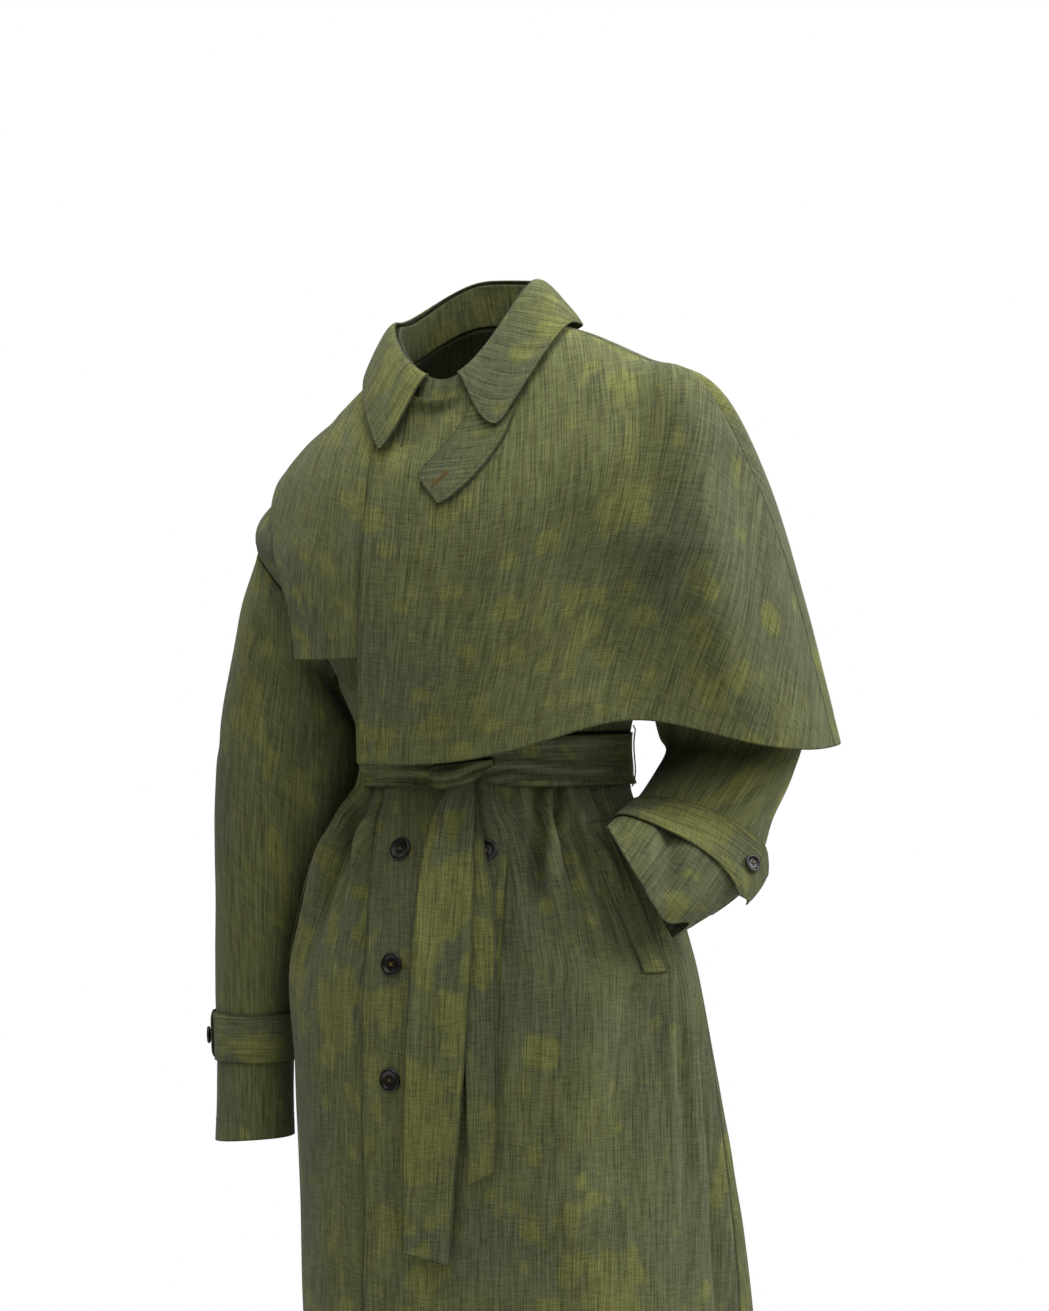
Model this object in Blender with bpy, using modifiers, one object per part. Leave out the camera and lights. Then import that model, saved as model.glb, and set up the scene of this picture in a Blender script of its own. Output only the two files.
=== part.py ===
"""Cape trench coat, worn and hollow: a belted double-breasted coat with a one-sided shoulder cape.

The coat's front faces -Y, its wearer's left is +X and +Z is up. The origin is the middle of the
neck, where the wearer's shoulders hold it. Tables and sizes are in millimetres, and MM turns them
into Blender's metres. Every piece of cloth is a thin wall on a surface that is lofted through rings,
and what lies on a piece is made from that piece's own surface, moved out.
"""

import math
from collections import namedtuple

import bmesh
import bpy
import numpy as np
from mathutils import Vector

MM = 0.001

# Cloth and seams
WALL = 1.6
COLLAR_WALL = 2.4
SEAM_GAP = 0.4

# The wearer stands turned from the viewer by this much, which sets the arms' tables
VIEW_TURN = math.radians(20.0)

# Front edges, measured across the body from the neck's middle
LEFT_FRONT_EDGE_X = -68.0
RIGHT_FRONT_EDGE_X = 96.0
UNDERLAP_DEPTH = 4.2
UNDERLAP_SLOPE = (19.0, 5.0)

# Angles round the body in degrees: left 0, back 90, right 180, front 270
LEFT_SHOULDER, RIGHT_SHOULDER = 360.0, 180.0
LEFT_SIDE_SEAM, RIGHT_SIDE_SEAM = 376.0, 170.0
CAPE_ARM_SEAM = 356.0

# Armholes: the rows of the body's rings that they lie between, and their half width in degrees
ARMHOLE_TOP_ROW, ARMHOLE_FOOT_ROW = 4.0, 5.0
ARMHOLE_MIDDLE_ROW = (ARMHOLE_TOP_ROW + ARMHOLE_FOOT_ROW) / 2
ARMHOLE_HALF_ANGLE = 29.0
ARMHOLE_RADIUS = 75.0
ARMHOLE_STEPS = 9
ARMHOLE_INSET = 1.4

# Rows at which the body's panels are cut above and below the armholes
YOKE_ROWS = (0.0, 0.8, 1.6, 2.4, 3.2)
SKIRT_ROWS = (5.7, 6.5, 7.1, 7.6, 8.1, 8.6, 9.1, 9.6, 10.2, 10.9, 11.6, 12.3, 13.1, 14.0)

# Belt
BELT_HEIGHT, BELT_TILT = -423.0, 2.5
BELT_WIDTH = 58.0
BELT_WALL = 1.8
BELT_STANDS_OFF = 3.2
KNOT_ANGLE, KNOT_SPREAD, KNOT_PINCH = 270.0, 13.0, 13.0

# Buttons: outer diameter, thickness, and the dish turned into the face
FRONT_BUTTON_DIAMETER, CUFF_BUTTON_DIAMETER = 26.5, 20.0
BUTTON_THICKNESS = 4.0
BUTTON_COLUMNS = {"right": -31.0, "left": 71.0}
ButtonRow = namedtuple("ButtonRow", "height stands_off")
BUTTON_ROWS = (ButtonRow(-520.0, 0.35), ButtonRow(-646.0, 0.65), ButtonRow(-773.0, 0.85))

CLOTH_GREEN = (0.085, 0.095, 0.040, 1.0)
HORN_BROWN = (0.016, 0.012, 0.009, 1.0)

RIGHT, FRONT, LEFT, BACK = range(4)
Ring = namedtuple("Ring", "right front left back")

# The coat's body from the neck seam to the hem: where each ring passes on the wearer's right,
# front, left and back. Rows 4 and 5 are the top and the foot of the armholes.
BODY_RINGS = (
    Ring((-84, 8, 18), (4, -76, -30), (88, 8, 62), (4, 86, 70)),
    Ring((-130, 12, -30), (6, -90, -72), (142, 10, 42), (6, 112, 45)),
    Ring((-174, 15, -78), (10, -110, -128), (204, 12, 12), (10, 138, -5)),
    Ring((-222, 18, -119), (14, -125, -185), (264, 14, -28), (14, 154, -75)),
    Ring((-250, 14, -182), (16, -132, -228), (312, 24, -108), (16, 162, -150)),
    Ring((-160, 22, -318), (20, -128, -280), (220, 24, -292), (20, 160, -275)),
    Ring((-146, 21, -345), (24, -122, -345), (200, 21, -345), (24, 148, -345)),
    Ring((-125, 20, -395), (28, -104, -395), (188, 20, -395), (28, 134, -395)),
    Ring((-121, 20, -432), (34, -93, -432), (189, 20, -432), (34, 132, -432)),
    Ring((-123, 20, -464), (34, -95, -464), (191, 20, -464), (34, 134, -464)),
    Ring((-164, 22, -525), (33, -116, -525), (222, 22, -525), (33, 158, -525)),
    Ring((-190, 25, -616), (31, -135, -616), (252, 25, -616), (31, 182, -616)),
    Ring((-206, 28, -706), (30, -143, -706), (266, 28, -706), (30, 198, -706)),
    Ring((-200, 28, -900), (41, -145, -900), (279, 28, -900), (41, 201, -900)),
    Ring((-190, 28, -1190), (54, -148, -1190), (298, 28, -1190), (54, 206, -1190)),
)
BELT_FIRST_ROW = 6

# The cape from the neck seam to its hem, over the left arm, the back and the right front
CAPE_RINGS = (
    Ring((-90, 8, 26), (4, -84, -22), (95, 8, 70), (4, 94, 80)),
    Ring((-141, 12, -22), (6, -102, -68), (150, 10, 54), (6, 124, 54)),
    Ring((-193, 15, -68), (10, -126, -126), (215, 12, 25), (10, 152, 6)),
    Ring((-230, 18, -113), (14, -142, -188), (280, 16, -3), (14, 172, -66)),
    Ring((-264, 18, -180), (16, -149, -250), (322, 36, -75), (20, 186, -150)),
    Ring((-292, 30, -272), (16, -152, -335), (367, 66, -207), (30, 206, -275)),
    Ring((-306, 34, -400), (16, -151, -428), (410, 110, -412), (40, 222, -425)),
)
CAPE_LAST_ROW = len(CAPE_RINGS) - 1

# The right side of the cape: its back and its flap swing away from the shoulder's line between
# these rows, by so many degrees. The flap ends above the cape's hem and lies under its front edge.
CAPE_BACK_SWING, CAPE_BACK_SWING_ROWS = 30.0, (2.6, 5.0)
FLAP_SWING, FLAP_SWING_ROWS = 55.5, (2.5, 5.1)
FLAP_LAST_ROWS = (4.96, 4.70)
FLAP_UNDERLAP = 34.0
FLAP_DEPTH, FLAP_SINKS_WITHIN = 4.0, 40.0

# The collar: the neck seam that the stand rises from, the fold that the fall turns over, its edge
STAND_FOOT = Ring((-84, 8, 20), (4, -76, -28), (88, 8, 64), (4, 86, 72))
COLLAR_FOLD = Ring((-78, 6, 72), (4, -72, 4), (87, 6, 116), (4, 86, 124))
COLLAR_ROLL = 4.0
STAND_LAP = 3.6
STAND_SITS_IN = 6.2
STAND_FOOT_IN = 1.0
STAND_ANGLES = (250.0, 655.0)
STAND_TOP = 0.88
STAND_LAP_SHARES = (0.20, 0.12)
FALL_FOLD_ANGLES = (-78.0, 258.0)
FALL_EDGE_ANGLES = (-52.5, 237.0)
COLLAR_EDGE = Ring((-110, 8, 20), (4, -130, -120), (132, 10, 68), (6, 136, 62))

Fold = namedtuple("Fold", "angle drift width depth top full fade bottom")

# The skirt's gathers under the belt and its long flutes. angle and drift are degrees, drift the
# turn by the foot; depth is outward; the heights say where it starts, is full, fades and ends.
SKIRT_FOLDS = (
    Fold(22, 4, 12.0, 44, -560, -1080, -1200, -1300),
    Fold(363, 4, 6.0, -15, -600, -800, -1200, -1300),
    Fold(351, 4, 7.0, 7, -600, -760, -1200, -1300),
    Fold(330, 4, 6.0, -7, -464, -520, -560, -680),
    Fold(318, 8, 5.5, -15, -464, -505, -560, -660),
    Fold(306, 4, 5.5, 8, -464, -500, -540, -660),
    Fold(296, 2, 5.5, -9, -464, -500, -530, -620),
    Fold(231, -4, 6.0, 7, -464, -500, -560, -680),
    Fold(219, -7, 6.0, -17, -464, -510, -570, -690),
    Fold(203, -3, 9.0, 12, -464, -520, -620, -780),
    Fold(150, -4, 6.5, -14, -464, -520, -600, -760),
    Fold(128, -2, 6.5, 11, -464, -530, -640, -800),
    Fold(108, 0, 6.5, -13, -464, -520, -620, -820),
    Fold(86, 2, 7.0, 12, -464, -530, -700, -900),
    Fold(66, 4, 6.5, -14, -464, -520, -600, -760),
    Fold(140, -4, 14.0, 26, -640, -1080, -1200, -1300),
    Fold(100, 0, 11.0, -20, -640, -1080, -1200, -1300),
    Fold(62, 0, 11.0, 16, -640, -1080, -1200, -1300),
)

# The cape's broad flutes, in the same terms
CAPE_FOLDS = (
    Fold(308, -2, 15.0, -26, -80, -330, -600, -700),
    Fold(338, 2, 12.0, 8, -60, -280, -600, -700),
    Fold(38, 0, 13.0, 16, -80, -340, -600, -700),
    Fold(66, 0, 10.0, -14, -60, -340, -600, -700),
    Fold(96, 0, 11.0, 14, -60, -340, -600, -700),
    Fold(124, 0, 10.0, -14, -60, -340, -600, -700),
)

# Where the arm lifts the cape's hem: angle, rise and half width in degrees
HemLift = namedtuple("HemLift", "angle rise width")
CAPE_HEM_LIFTS = (HemLift(305, 46, 15), HemLift(76, 76, 34))

# Sleeves: each ring by its inner and outer point as the viewer sees them (across, height), how far
# it lies behind the neck's middle, and its half depth
SleeveRow = namedtuple("SleeveRow", "in_across in_height out_across out_height behind half_depth")
LEFT_SLEEVE = (
    SleeveRow(236, -302, 335, -152, -48, 80),
    SleeveRow(225, -332, 360, -226, -30, 80),
    SleeveRow(217, -366, 379, -310, -10, 75),
    SleeveRow(224, -398, 388, -385, 0, 70),
    SleeveRow(231, -413, 373, -439, -22, 62),
    SleeveRow(216, -439, 349, -486, -52, 54),
    SleeveRow(196, -464, 333, -529, -84, 46),
    SleeveRow(179, -478, 305, -569, -116, 40),
    SleeveRow(161, -493, 232, -614, -148, 34),
)
RIGHT_SLEEVE = (
    SleeveRow(-152, -339, -252, -239, 86, 72),
    SleeveRow(-130, -371, -264, -300, 94, 78),
    SleeveRow(-116, -407, -276, -361, 101, 79),
    SleeveRow(-112, -437, -283, -418, 105, 79),
    SleeveRow(-126, -484, -287, -474, 111, 78),
    SleeveRow(-157, -546, -288, -541, 117, 75),
    SleeveRow(-183, -618, -287, -618, 121, 71),
    SleeveRow(-196, -701, -287, -701, 124, 67),
    SleeveRow(-198, -783, -285, -783, 124, 64),
    SleeveRow(-196, -861, -287, -867, 124, 62),
)

# Cuff straps: the sleeve rows that each strap's two edges lie on, and the angles round the sleeve
# where it starts, where its point ends and where its button sits. On the sleeve's front it lies
# higher by so many rows, and its end rises off the sleeve.
Strap = namedtuple("Strap", "upper lower start finish button tilt end_rise")
STRAP_WALL = 1.8
STRAP_STANDS_OFF = 3.2
STRAP_POINT_FROM, STRAP_POINT_NARROWS = 0.93, 0.45
STRAP_RISES_WITHIN = (0.85, 1.0)
CUFF_BUTTON_OFF = STRAP_WALL / 2 + 0.4
STRAP_STEPS = (0.004, 0.05)
CUFF_STRAPS = {
    "left": Strap(7.2, 8.4, 350.0, 8.0, 35.0, 0.8, 12.0),
    "right": Strap(8.2, 8.88, -352.0, 14.0, 4.0, 0.0, 3.4),
}

# Where the left cuff's end gapes: the middle angle, its half width in degrees and its depth in rows
CuffGape = namedtuple("CuffGape", "angle width depth")
CUFF_GAPES = {"left": CuffGape(24.0, 15.0, 0.34), "right": CuffGape(90.0, 60.0, 0.06)}

# The belt's tails: across the body at each height, how far they stand off the skirt
TailRow = namedtuple("TailRow", "height left right off")
LONG_TAIL = (
    TailRow(-430, 30, 52, 8.15),
    TailRow(-448, 25, 53, 8.5),
    TailRow(-478, 13, 56, 10.8),
    TailRow(-518, 7, 61, 12.5),
    TailRow(-629, 2, 66, 12.5),
    TailRow(-765, -4, 60, 12.5),
    TailRow(-900, -7, 50, 12.5),
    TailRow(-966, -8, 46, 12.5),
)
SHORT_TAIL = (
    TailRow(-430, 33, 53, 6.0),
    TailRow(-448, 34, 54, 6.3),
    TailRow(-478, 35, 58, 7.2),
    TailRow(-518, 38, 71, 8.4),
    TailRow(-591, 46, 87, 8.4),
    TailRow(-688, 57, 93, 8.4),
    TailRow(-785, 62, 95, 8.4),
    TailRow(-876, 64, 93, 8.4),
)
TAIL_END_SLANT = {"long": 12.0, "short": -16.0}

# The knot's band along its middle: across, height and stand-off, with how far its edges turn in
KnotRow = namedtuple("KnotRow", "across height off arch half_width")
KNOT = (
    KnotRow(2, -437, 7.0, 0.0, 7),
    KnotRow(9, -437, 11.5, 1.2, 10),
    KnotRow(22, -435, 17.5, 4.2, 11),
    KnotRow(42, -432, 17.5, 4.2, 10.5),
    KnotRow(60, -427, 12.5, 1.4, 9),
    KnotRow(73, -422, 6.8, 0.0, 7),
)
KNOT_WALL = 3.0

# The throat tab on the cape: its middle line as across and height, with its half width
TabRow = namedtuple("TabRow", "across height half_width")
THROAT_TAB = (
    TabRow(75, -14, 25),
    TabRow(62, -58, 27),
    TabRow(42, -90, 27),
    TabRow(19, -115, 25),
    TabRow(8, -125, 21),
)
TAB_STANDS_OFF = 2.8

# Pocket welts: angle and height of the two ends of the middle line, the welt's width and its distance out
PocketWelt = namedtuple("PocketWelt", "top_angle top_height foot_angle foot_height width stands_off")
POCKET_WELTS = {
    "left": PocketWelt(327.0, -490.0, 336.6, -655.0, 38.0, 3.5),
    "right": PocketWelt(204.0, -492.0, 193.0, -652.0, 32.0, 2.9),
}
SKIRT_RADIUS = 210.0

# Belt loops: narrow strips that bridge the belt at the sides
LOOP_ANGLES = {"left": 374.0, "right": 167.0}
LOOP_HALF_HEIGHT = 35.0
LOOP_RISE = 2.0
LOOP_WIDTH = 8.0
LOOP_STANDS_OFF = 2.8
LOOP_BRIDGE, LOOP_BRIDGE_SHARE = 3.2, 0.07
WAIST_RADIUS = 155.0

# Angle and row near which the search for a spot on the cape or the body starts
NEAR_THROAT = (275.0, 1.6)
NEAR_KNOT = (272.0, 8.2)
NEAR_TAILS = (275.0, 10.0)
NEAR_BUTTONS = (270.0, 10.5)


def table(rows):
    """A table's rows as an array of numbers."""
    return np.array([[np.array(cell, float) for cell in row] for row in rows])


def between_rows(rows, at):
    """Values on a smooth curve through the rows, at fractional row numbers."""
    last = len(rows) - 1
    at = np.clip(at, 0.0, last)
    first = np.minimum(at.astype(int), last - 1)
    t = (at - first).reshape(at.shape + (1,) * (rows.ndim - 1))
    a, b = rows[np.maximum(first - 1, 0)], rows[first]
    c, d = rows[first + 1], rows[np.minimum(first + 2, last)]
    return b + 0.5 * t * (c - a + t * (2 * a - 5 * b + 4 * c - d + t * (3 * (b - c) + d - a)))


def ring_points(rings, angle, row):
    """Points on the loft through the rings, at angles in degrees and fractional row numbers."""
    ring = between_rows(rings, row)
    c, s = np.cos(np.radians(angle)), np.sin(np.radians(angle))
    side = np.where((c >= 0)[..., None], ring[..., LEFT, :], ring[..., RIGHT, :])
    end = np.where((s >= 0)[..., None], ring[..., BACK, :], ring[..., FRONT, :])
    x = end[..., 0] + (side[..., 0] - end[..., 0]) * np.abs(c)
    y = side[..., 1] + (end[..., 1] - side[..., 1]) * np.abs(s)
    z = side[..., 2] + (end[..., 2] - side[..., 2]) * s * s
    return np.stack([x, y, z], axis=-1)


def ease(low, high, value):
    """0 at low, 1 at high and smooth between them, for low above or below high."""
    t = np.clip((value - low) / (high - low), 0.0, 1.0)
    return t * t * (3 - 2 * t)


def turn_between(angle, middle):
    """The signed turn in degrees from the middle angle, between -180 and 180."""
    return (angle - middle + 180.0) % 360.0 - 180.0


def folded(points, angle, folds):
    """The points moved outward by each fold's soft ridge or trough."""
    height = points[..., 2]
    out = np.zeros_like(height)
    for fold in folds:
        middle = fold.angle + fold.drift * ease(fold.top, fold.bottom, height)
        ridge = np.exp(-((turn_between(angle, middle) / fold.width) ** 2))
        strength = ease(fold.top, fold.full, height) * ease(fold.bottom, fold.fade, height)
        out = out + fold.depth * ridge * strength
    radians = np.radians(angle)
    return points + np.stack([out * np.cos(radians), out * np.sin(radians), 0 * out], axis=-1)


def body(angle, row):
    """The coat's outer surface."""
    return folded(ring_points(BODY_TABLE, angle, row), angle, SKIRT_FOLDS)


def cape(angle, row):
    """The cape's outer surface, with its hem lifted where the arm pushes it up."""
    points = folded(ring_points(CAPE_TABLE, angle, row), angle, CAPE_FOLDS)
    near_hem = (row / CAPE_LAST_ROW) ** 3
    for lift in CAPE_HEM_LIFTS:
        rise = lift.rise * np.exp(-((turn_between(angle, lift.angle) / lift.width) ** 2) / 2)
        points[..., 2] += rise * near_hem
    return points


def moved_out(surface, a, b, distance, steps=(0.5, 0.02)):
    """Points of a two-way surface moved along its normal, outward on the angle and row surfaces."""
    da, db = steps
    along = surface(a + da, b) - surface(a - da, b)
    down = surface(a, b + db) - surface(a, b - db)
    normal = np.cross(down, along)
    normal /= np.linalg.norm(normal, axis=-1, keepdims=True)
    return surface(a, b) + normal * np.asarray(distance)[..., None], normal


def edge_angle(rings, row, edge_x):
    """The angle at which a ring's front crosses the given distance across the body."""
    ring = between_rows(rings, row)
    middle = ring[..., FRONT, 0]
    side = np.where(edge_x < middle, ring[..., RIGHT, 0], ring[..., LEFT, 0])
    share = np.clip((edge_x - middle) / (side - middle), 0.0, 0.72)
    swing = np.degrees(np.arcsin(share))
    return np.where(edge_x < middle, 270.0 - swing, 270.0 + swing)


def find_spot(surface, across, height, angle, row):
    """The angle and row of the surface's point at the given distance across and height."""
    angle, row = np.full_like(across, angle), np.full_like(across, row)
    da, db = 0.5, 0.02
    for _ in range(40):
        here = surface(angle, row)
        by_angle = (surface(angle + da, row) - here) / da
        by_row = (surface(angle, row + db) - here) / db
        miss_x, miss_z = across - here[..., 0], height - here[..., 2]
        det = by_angle[..., 0] * by_row[..., 2] - by_row[..., 0] * by_angle[..., 2]
        step_a = (miss_x * by_row[..., 2] - by_row[..., 0] * miss_z) / det
        step_b = (by_angle[..., 0] * miss_z - miss_x * by_angle[..., 2]) / det
        angle = angle + np.clip(step_a, -8.0, 8.0)
        row = np.clip(row + np.clip(step_b, -0.4, 0.4), 0.0, None)
    return angle, row


def flap_edge(row):
    """The angle of the flap's free edge, which leaves the shoulder's line below a row."""
    first, last = FLAP_SWING_ROWS
    share = np.clip((row - first) / (last - first), 0.0, 1.0)
    return RIGHT_SHOULDER + FLAP_SWING * np.sin(share * math.pi / 2)


def belt_height(angle):
    """The height of the belt's middle, which lies a little lower on the wearer's right."""
    return BELT_HEIGHT + BELT_TILT * np.cos(np.radians(angle))


def body_row_at(height):
    """The body's row number at a height below the arms, where the rings are level."""
    rows = np.linspace(BELT_FIRST_ROW, len(BODY_RINGS) - 1, 400)
    heights = between_rows(BODY_TABLE, rows)[:, FRONT, 2]
    return np.interp(-height, -heights, rows)


BODY_TABLE = table(BODY_RINGS)
CAPE_TABLE = table(CAPE_RINGS)
STAND_TABLE = table((STAND_FOOT, COLLAR_FOLD))
COLLAR_TABLE = table((COLLAR_FOLD, COLLAR_EDGE))


def armhole_row(turn):
    """The body's row on the armhole's loop: turn is 0 at its top and 180 at its foot."""
    return ARMHOLE_MIDDLE_ROW - (ARMHOLE_FOOT_ROW - ARMHOLE_TOP_ROW) / 2 * np.cos(np.radians(turn))


def armhole_half_angle(row):
    """How far the panel's side edge stands back from the shoulder's line, in degrees."""
    share = (row - ARMHOLE_MIDDLE_ROW) / ((ARMHOLE_FOOT_ROW - ARMHOLE_TOP_ROW) / 2)
    return ARMHOLE_HALF_ANGLE * np.sqrt(np.clip(1 - share**2, 0.0, 1.0))


def sleeve_surface(side):
    """The sleeve as a surface: angle round it, 0 outside and 90 in front, and row, 0 on the armhole."""
    rows = LEFT_SLEEVE if side == "left" else RIGHT_SLEEVE
    across = np.array([math.cos(VIEW_TURN), math.sin(VIEW_TURN), 0.0])
    behind = np.array([-math.sin(VIEW_TURN), math.cos(VIEW_TURN), 0.0])
    up = np.array([0.0, 0.0, 1.0])
    inner = [r.in_across * across + r.behind * behind + r.in_height * up for r in rows]
    outer = [r.out_across * across + r.behind * behind + r.out_height * up for r in rows]
    inset = 1.0 - ARMHOLE_INSET / ARMHOLE_RADIUS

    def surface(angle, row):
        c, s = np.cos(np.radians(angle)), np.sin(np.radians(angle))
        loop_row = ARMHOLE_MIDDLE_ROW - inset * (ARMHOLE_MIDDLE_ROW - armhole_row(angle))
        shoulder = LEFT_SHOULDER if side == "left" else RIGHT_SHOULDER
        swing = inset * ARMHOLE_HALF_ANGLE * s * (-1 if side == "left" else 1)
        rings = [moved_out(body, shoulder + swing, loop_row, ARMHOLE_INSET + 0 * swing)[0]]
        for start, stop, size in zip(inner, outer, rows):
            middle, half = (start + stop) / 2, (stop - start) / 2
            depth = -behind * size.half_depth
            rings.append(middle + half * c[..., None] + depth * s[..., None])
        stack = np.stack(rings)
        last = len(rings) - 1
        row = np.clip(row, 0.0, last)
        first = np.minimum(row.astype(int), last - 1)
        picked = np.indices(row.shape)
        a, b, p, d = (
            stack[(np.clip(first + k, 0, last), *picked)] for k in (-1, 0, 1, 2)
        )
        t = (row - first)[..., None]
        return b + 0.5 * t * (p - a + t * (2 * a - 5 * b + 4 * p - d + t * (3 * (b - p) + d - a)))

    return surface


def material(name, colour, roughness):
    """A plain finish in the part's colour."""
    made = bpy.data.materials.new(name)
    made.use_nodes = True
    shader = made.node_tree.nodes["Principled BSDF"]
    shader.inputs["Base Color"].default_value = colour
    shader.inputs["Roughness"].default_value = roughness
    shader.inputs["Metallic"].default_value = 0.0
    return made


def add_object(name, mesh, finish):
    """A named object of the coat, under the empty at its origin."""
    mesh.materials.append(finish)
    mesh.shade_smooth()
    made = bpy.data.objects.new(name, mesh)
    made.parent = COAT_ORIGIN
    COAT.objects.link(made)
    return made


def cloth(name, place, columns, rows, wall=WALL, closed=False, flip=True):
    """A wall of cloth: a grid laid on a surface by place(u, v), made thick by Solidify.

    place takes and gives arrays, u and v run from 0 to 1. closed joins the grid's two sides.
    """
    bm = bmesh.new()
    bmesh.ops.create_grid(bm, x_segments=columns, y_segments=rows, size=0.5)
    flat = np.array([vert.co for vert in bm.verts])
    for vert, point in zip(bm.verts, place(flat[:, 0] + 0.5, flat[:, 1] + 0.5)):
        vert.co = point * MM
    if closed:
        bmesh.ops.remove_doubles(bm, verts=bm.verts, dist=0.01 * MM)
    if flip:
        bmesh.ops.reverse_faces(bm, faces=bm.faces)
    mesh = bpy.data.meshes.new(name)
    bm.to_mesh(mesh)
    bm.free()
    made = add_object(name, mesh, CLOTH)
    shell = made.modifiers.new("wall", "SOLIDIFY")
    shell.thickness = wall * MM
    shell.offset = 0.0
    shell.use_even_offset = False
    return made


def seam_turn(radius):
    """Half a seam's gap as a turn in degrees at the given radius."""
    return np.degrees(SEAM_GAP / 2 / radius)


def panel_rows(share):
    """Body rows down a panel, with the armhole's own rows among them."""
    arm = armhole_row(np.linspace(0.0, 180.0, ARMHOLE_STEPS))
    rows = np.concatenate([YOKE_ROWS, arm, SKIRT_ROWS])
    return np.interp(share, np.linspace(0.0, 1.0, len(rows)), rows), len(rows) - 1


def side_edge(row, shoulder, seam, towards):
    """A panel's side edge: the shoulder seam, the armhole and then the side seam, as angles."""
    below = ease(ARMHOLE_FOOT_ROW, ARMHOLE_FOOT_ROW + 2.0, row)
    line = shoulder + (seam - shoulder) * below
    return line + towards * (armhole_half_angle(row) + seam_turn(180.0))


def build_body():
    """The left front, which laps over the right front, and the back."""
    down = panel_rows(np.zeros(1))[1]

    def front_left(u, v):
        row = panel_rows(v)[0]
        start = edge_angle(BODY_TABLE, row, LEFT_FRONT_EDGE_X)
        stop = side_edge(row, LEFT_SHOULDER, LEFT_SIDE_SEAM, -1)
        return body(start + (stop - start) * u, row)

    def front_right(u, v):
        row = panel_rows(v)[0]
        start = side_edge(row, RIGHT_SHOULDER, RIGHT_SIDE_SEAM, 1)
        stop = edge_angle(BODY_TABLE, row, RIGHT_FRONT_EDGE_X)
        angle = start + (stop - start) * u
        lap = edge_angle(BODY_TABLE, row, LEFT_FRONT_EDGE_X)
        start_slope, end_slope = (lap - turn for turn in UNDERLAP_SLOPE)
        under = -UNDERLAP_DEPTH * ease(start_slope, end_slope, angle)
        return moved_out(body, angle, row, under)[0]

    def back(u, v):
        row = panel_rows(v)[0]
        start = side_edge(row, LEFT_SHOULDER, LEFT_SIDE_SEAM, 1) - 360.0
        stop = side_edge(row, RIGHT_SHOULDER, RIGHT_SIDE_SEAM, -1)
        return body(start + (stop - start) * u, row)

    cloth("front_left", front_left, 22, down)
    cloth("front_right", front_right, 18, down)
    cloth("back", back, 26, down)


def build_sleeve(side):
    """One sleeve, from its armhole to its open cuff."""
    surface = sleeve_surface(side)
    rows = len(LEFT_SLEEVE if side == "left" else RIGHT_SLEEVE)
    steps = 2 * (ARMHOLE_STEPS - 1)

    gape = CUFF_GAPES[side]

    def place(u, v):
        angle = 360.0 * u
        short = gape.depth * np.exp(-((turn_between(angle, gape.angle) / gape.width) ** 2))
        return surface(angle, (rows - short) * v)

    cloth(f"sleeve_{side}", place, steps, rows + 4, closed=True, flip=side == "left")


def build_cape():
    """The cape's left front, its back, and the shorter flap on the right front."""
    def left(u, v):
        row = CAPE_LAST_ROW * v
        gap = seam_turn(between_rows(CAPE_TABLE, row)[:, LEFT, 0])
        start = edge_angle(CAPE_TABLE, row, LEFT_FRONT_EDGE_X)
        return cape(start + (CAPE_ARM_SEAM - 2 * gap - start) * u, row)

    def back(u, v):
        row = CAPE_LAST_ROW * v
        gap = seam_turn(between_rows(CAPE_TABLE, row)[:, LEFT, 0])
        start = CAPE_ARM_SEAM - 360.0 + 2 * gap
        stop = RIGHT_SHOULDER - 2 * gap - CAPE_BACK_SWING * ease(*CAPE_BACK_SWING_ROWS, row)
        return cape(start + (stop - start) * u, row)

    def flap(u, v):
        row = np.interp(u, (0.0, 1.0), FLAP_LAST_ROWS) * v
        gap = seam_turn(between_rows(CAPE_TABLE, row)[:, LEFT, 0])
        start = flap_edge(row) + 2 * gap
        stop = edge_angle(CAPE_TABLE, row, LEFT_FRONT_EDGE_X + FLAP_UNDERLAP)
        angle = start + (stop - start) * u
        under = -FLAP_DEPTH * ease(RIGHT_SHOULDER, RIGHT_SHOULDER + FLAP_SINKS_WITHIN, angle)
        return moved_out(cape, angle, row, under)[0]

    cloth("cape_left", left, 17, 12)
    cloth("cape_back", back, 18, 12)
    cloth("flap_right", flap, 10, 10)


def build_collar():
    """The stand, whose left end laps over its right, and the fall that turns down over it."""

    def stand(u, v):
        angle = np.interp(u, (0.0, 1.0), STAND_ANGLES)
        points = ring_points(STAND_TABLE, angle, STAND_TOP * (1 - v))
        out = STAND_LAP * ease(*STAND_LAP_SHARES, u) - STAND_SITS_IN * (1 - v) - STAND_FOOT_IN * v
        radians = np.radians(angle)
        return points + np.stack([out * np.cos(radians), out * np.sin(radians), 0 * out], axis=-1)

    def fall(u, v):
        fold = np.interp(u, (0.0, 1.0), FALL_FOLD_ANGLES)
        edge = np.interp(u, (0.0, 1.0), FALL_EDGE_ANGLES)
        angle = fold + (edge - fold) * v
        points = ring_points(COLLAR_TABLE, angle, v)
        roll = COLLAR_ROLL * np.sin(math.pi * np.clip(v, 0.0, 1.0) ** 0.6)
        radians = np.radians(angle)
        lean = np.stack([roll * np.cos(radians), roll * np.sin(radians), roll * 0.8], axis=-1)
        return points + lean

    cloth("collar_stand", stand, 32, 2, wall=COLLAR_WALL)
    cloth("collar", fall, 28, 5, wall=COLLAR_WALL)


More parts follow.
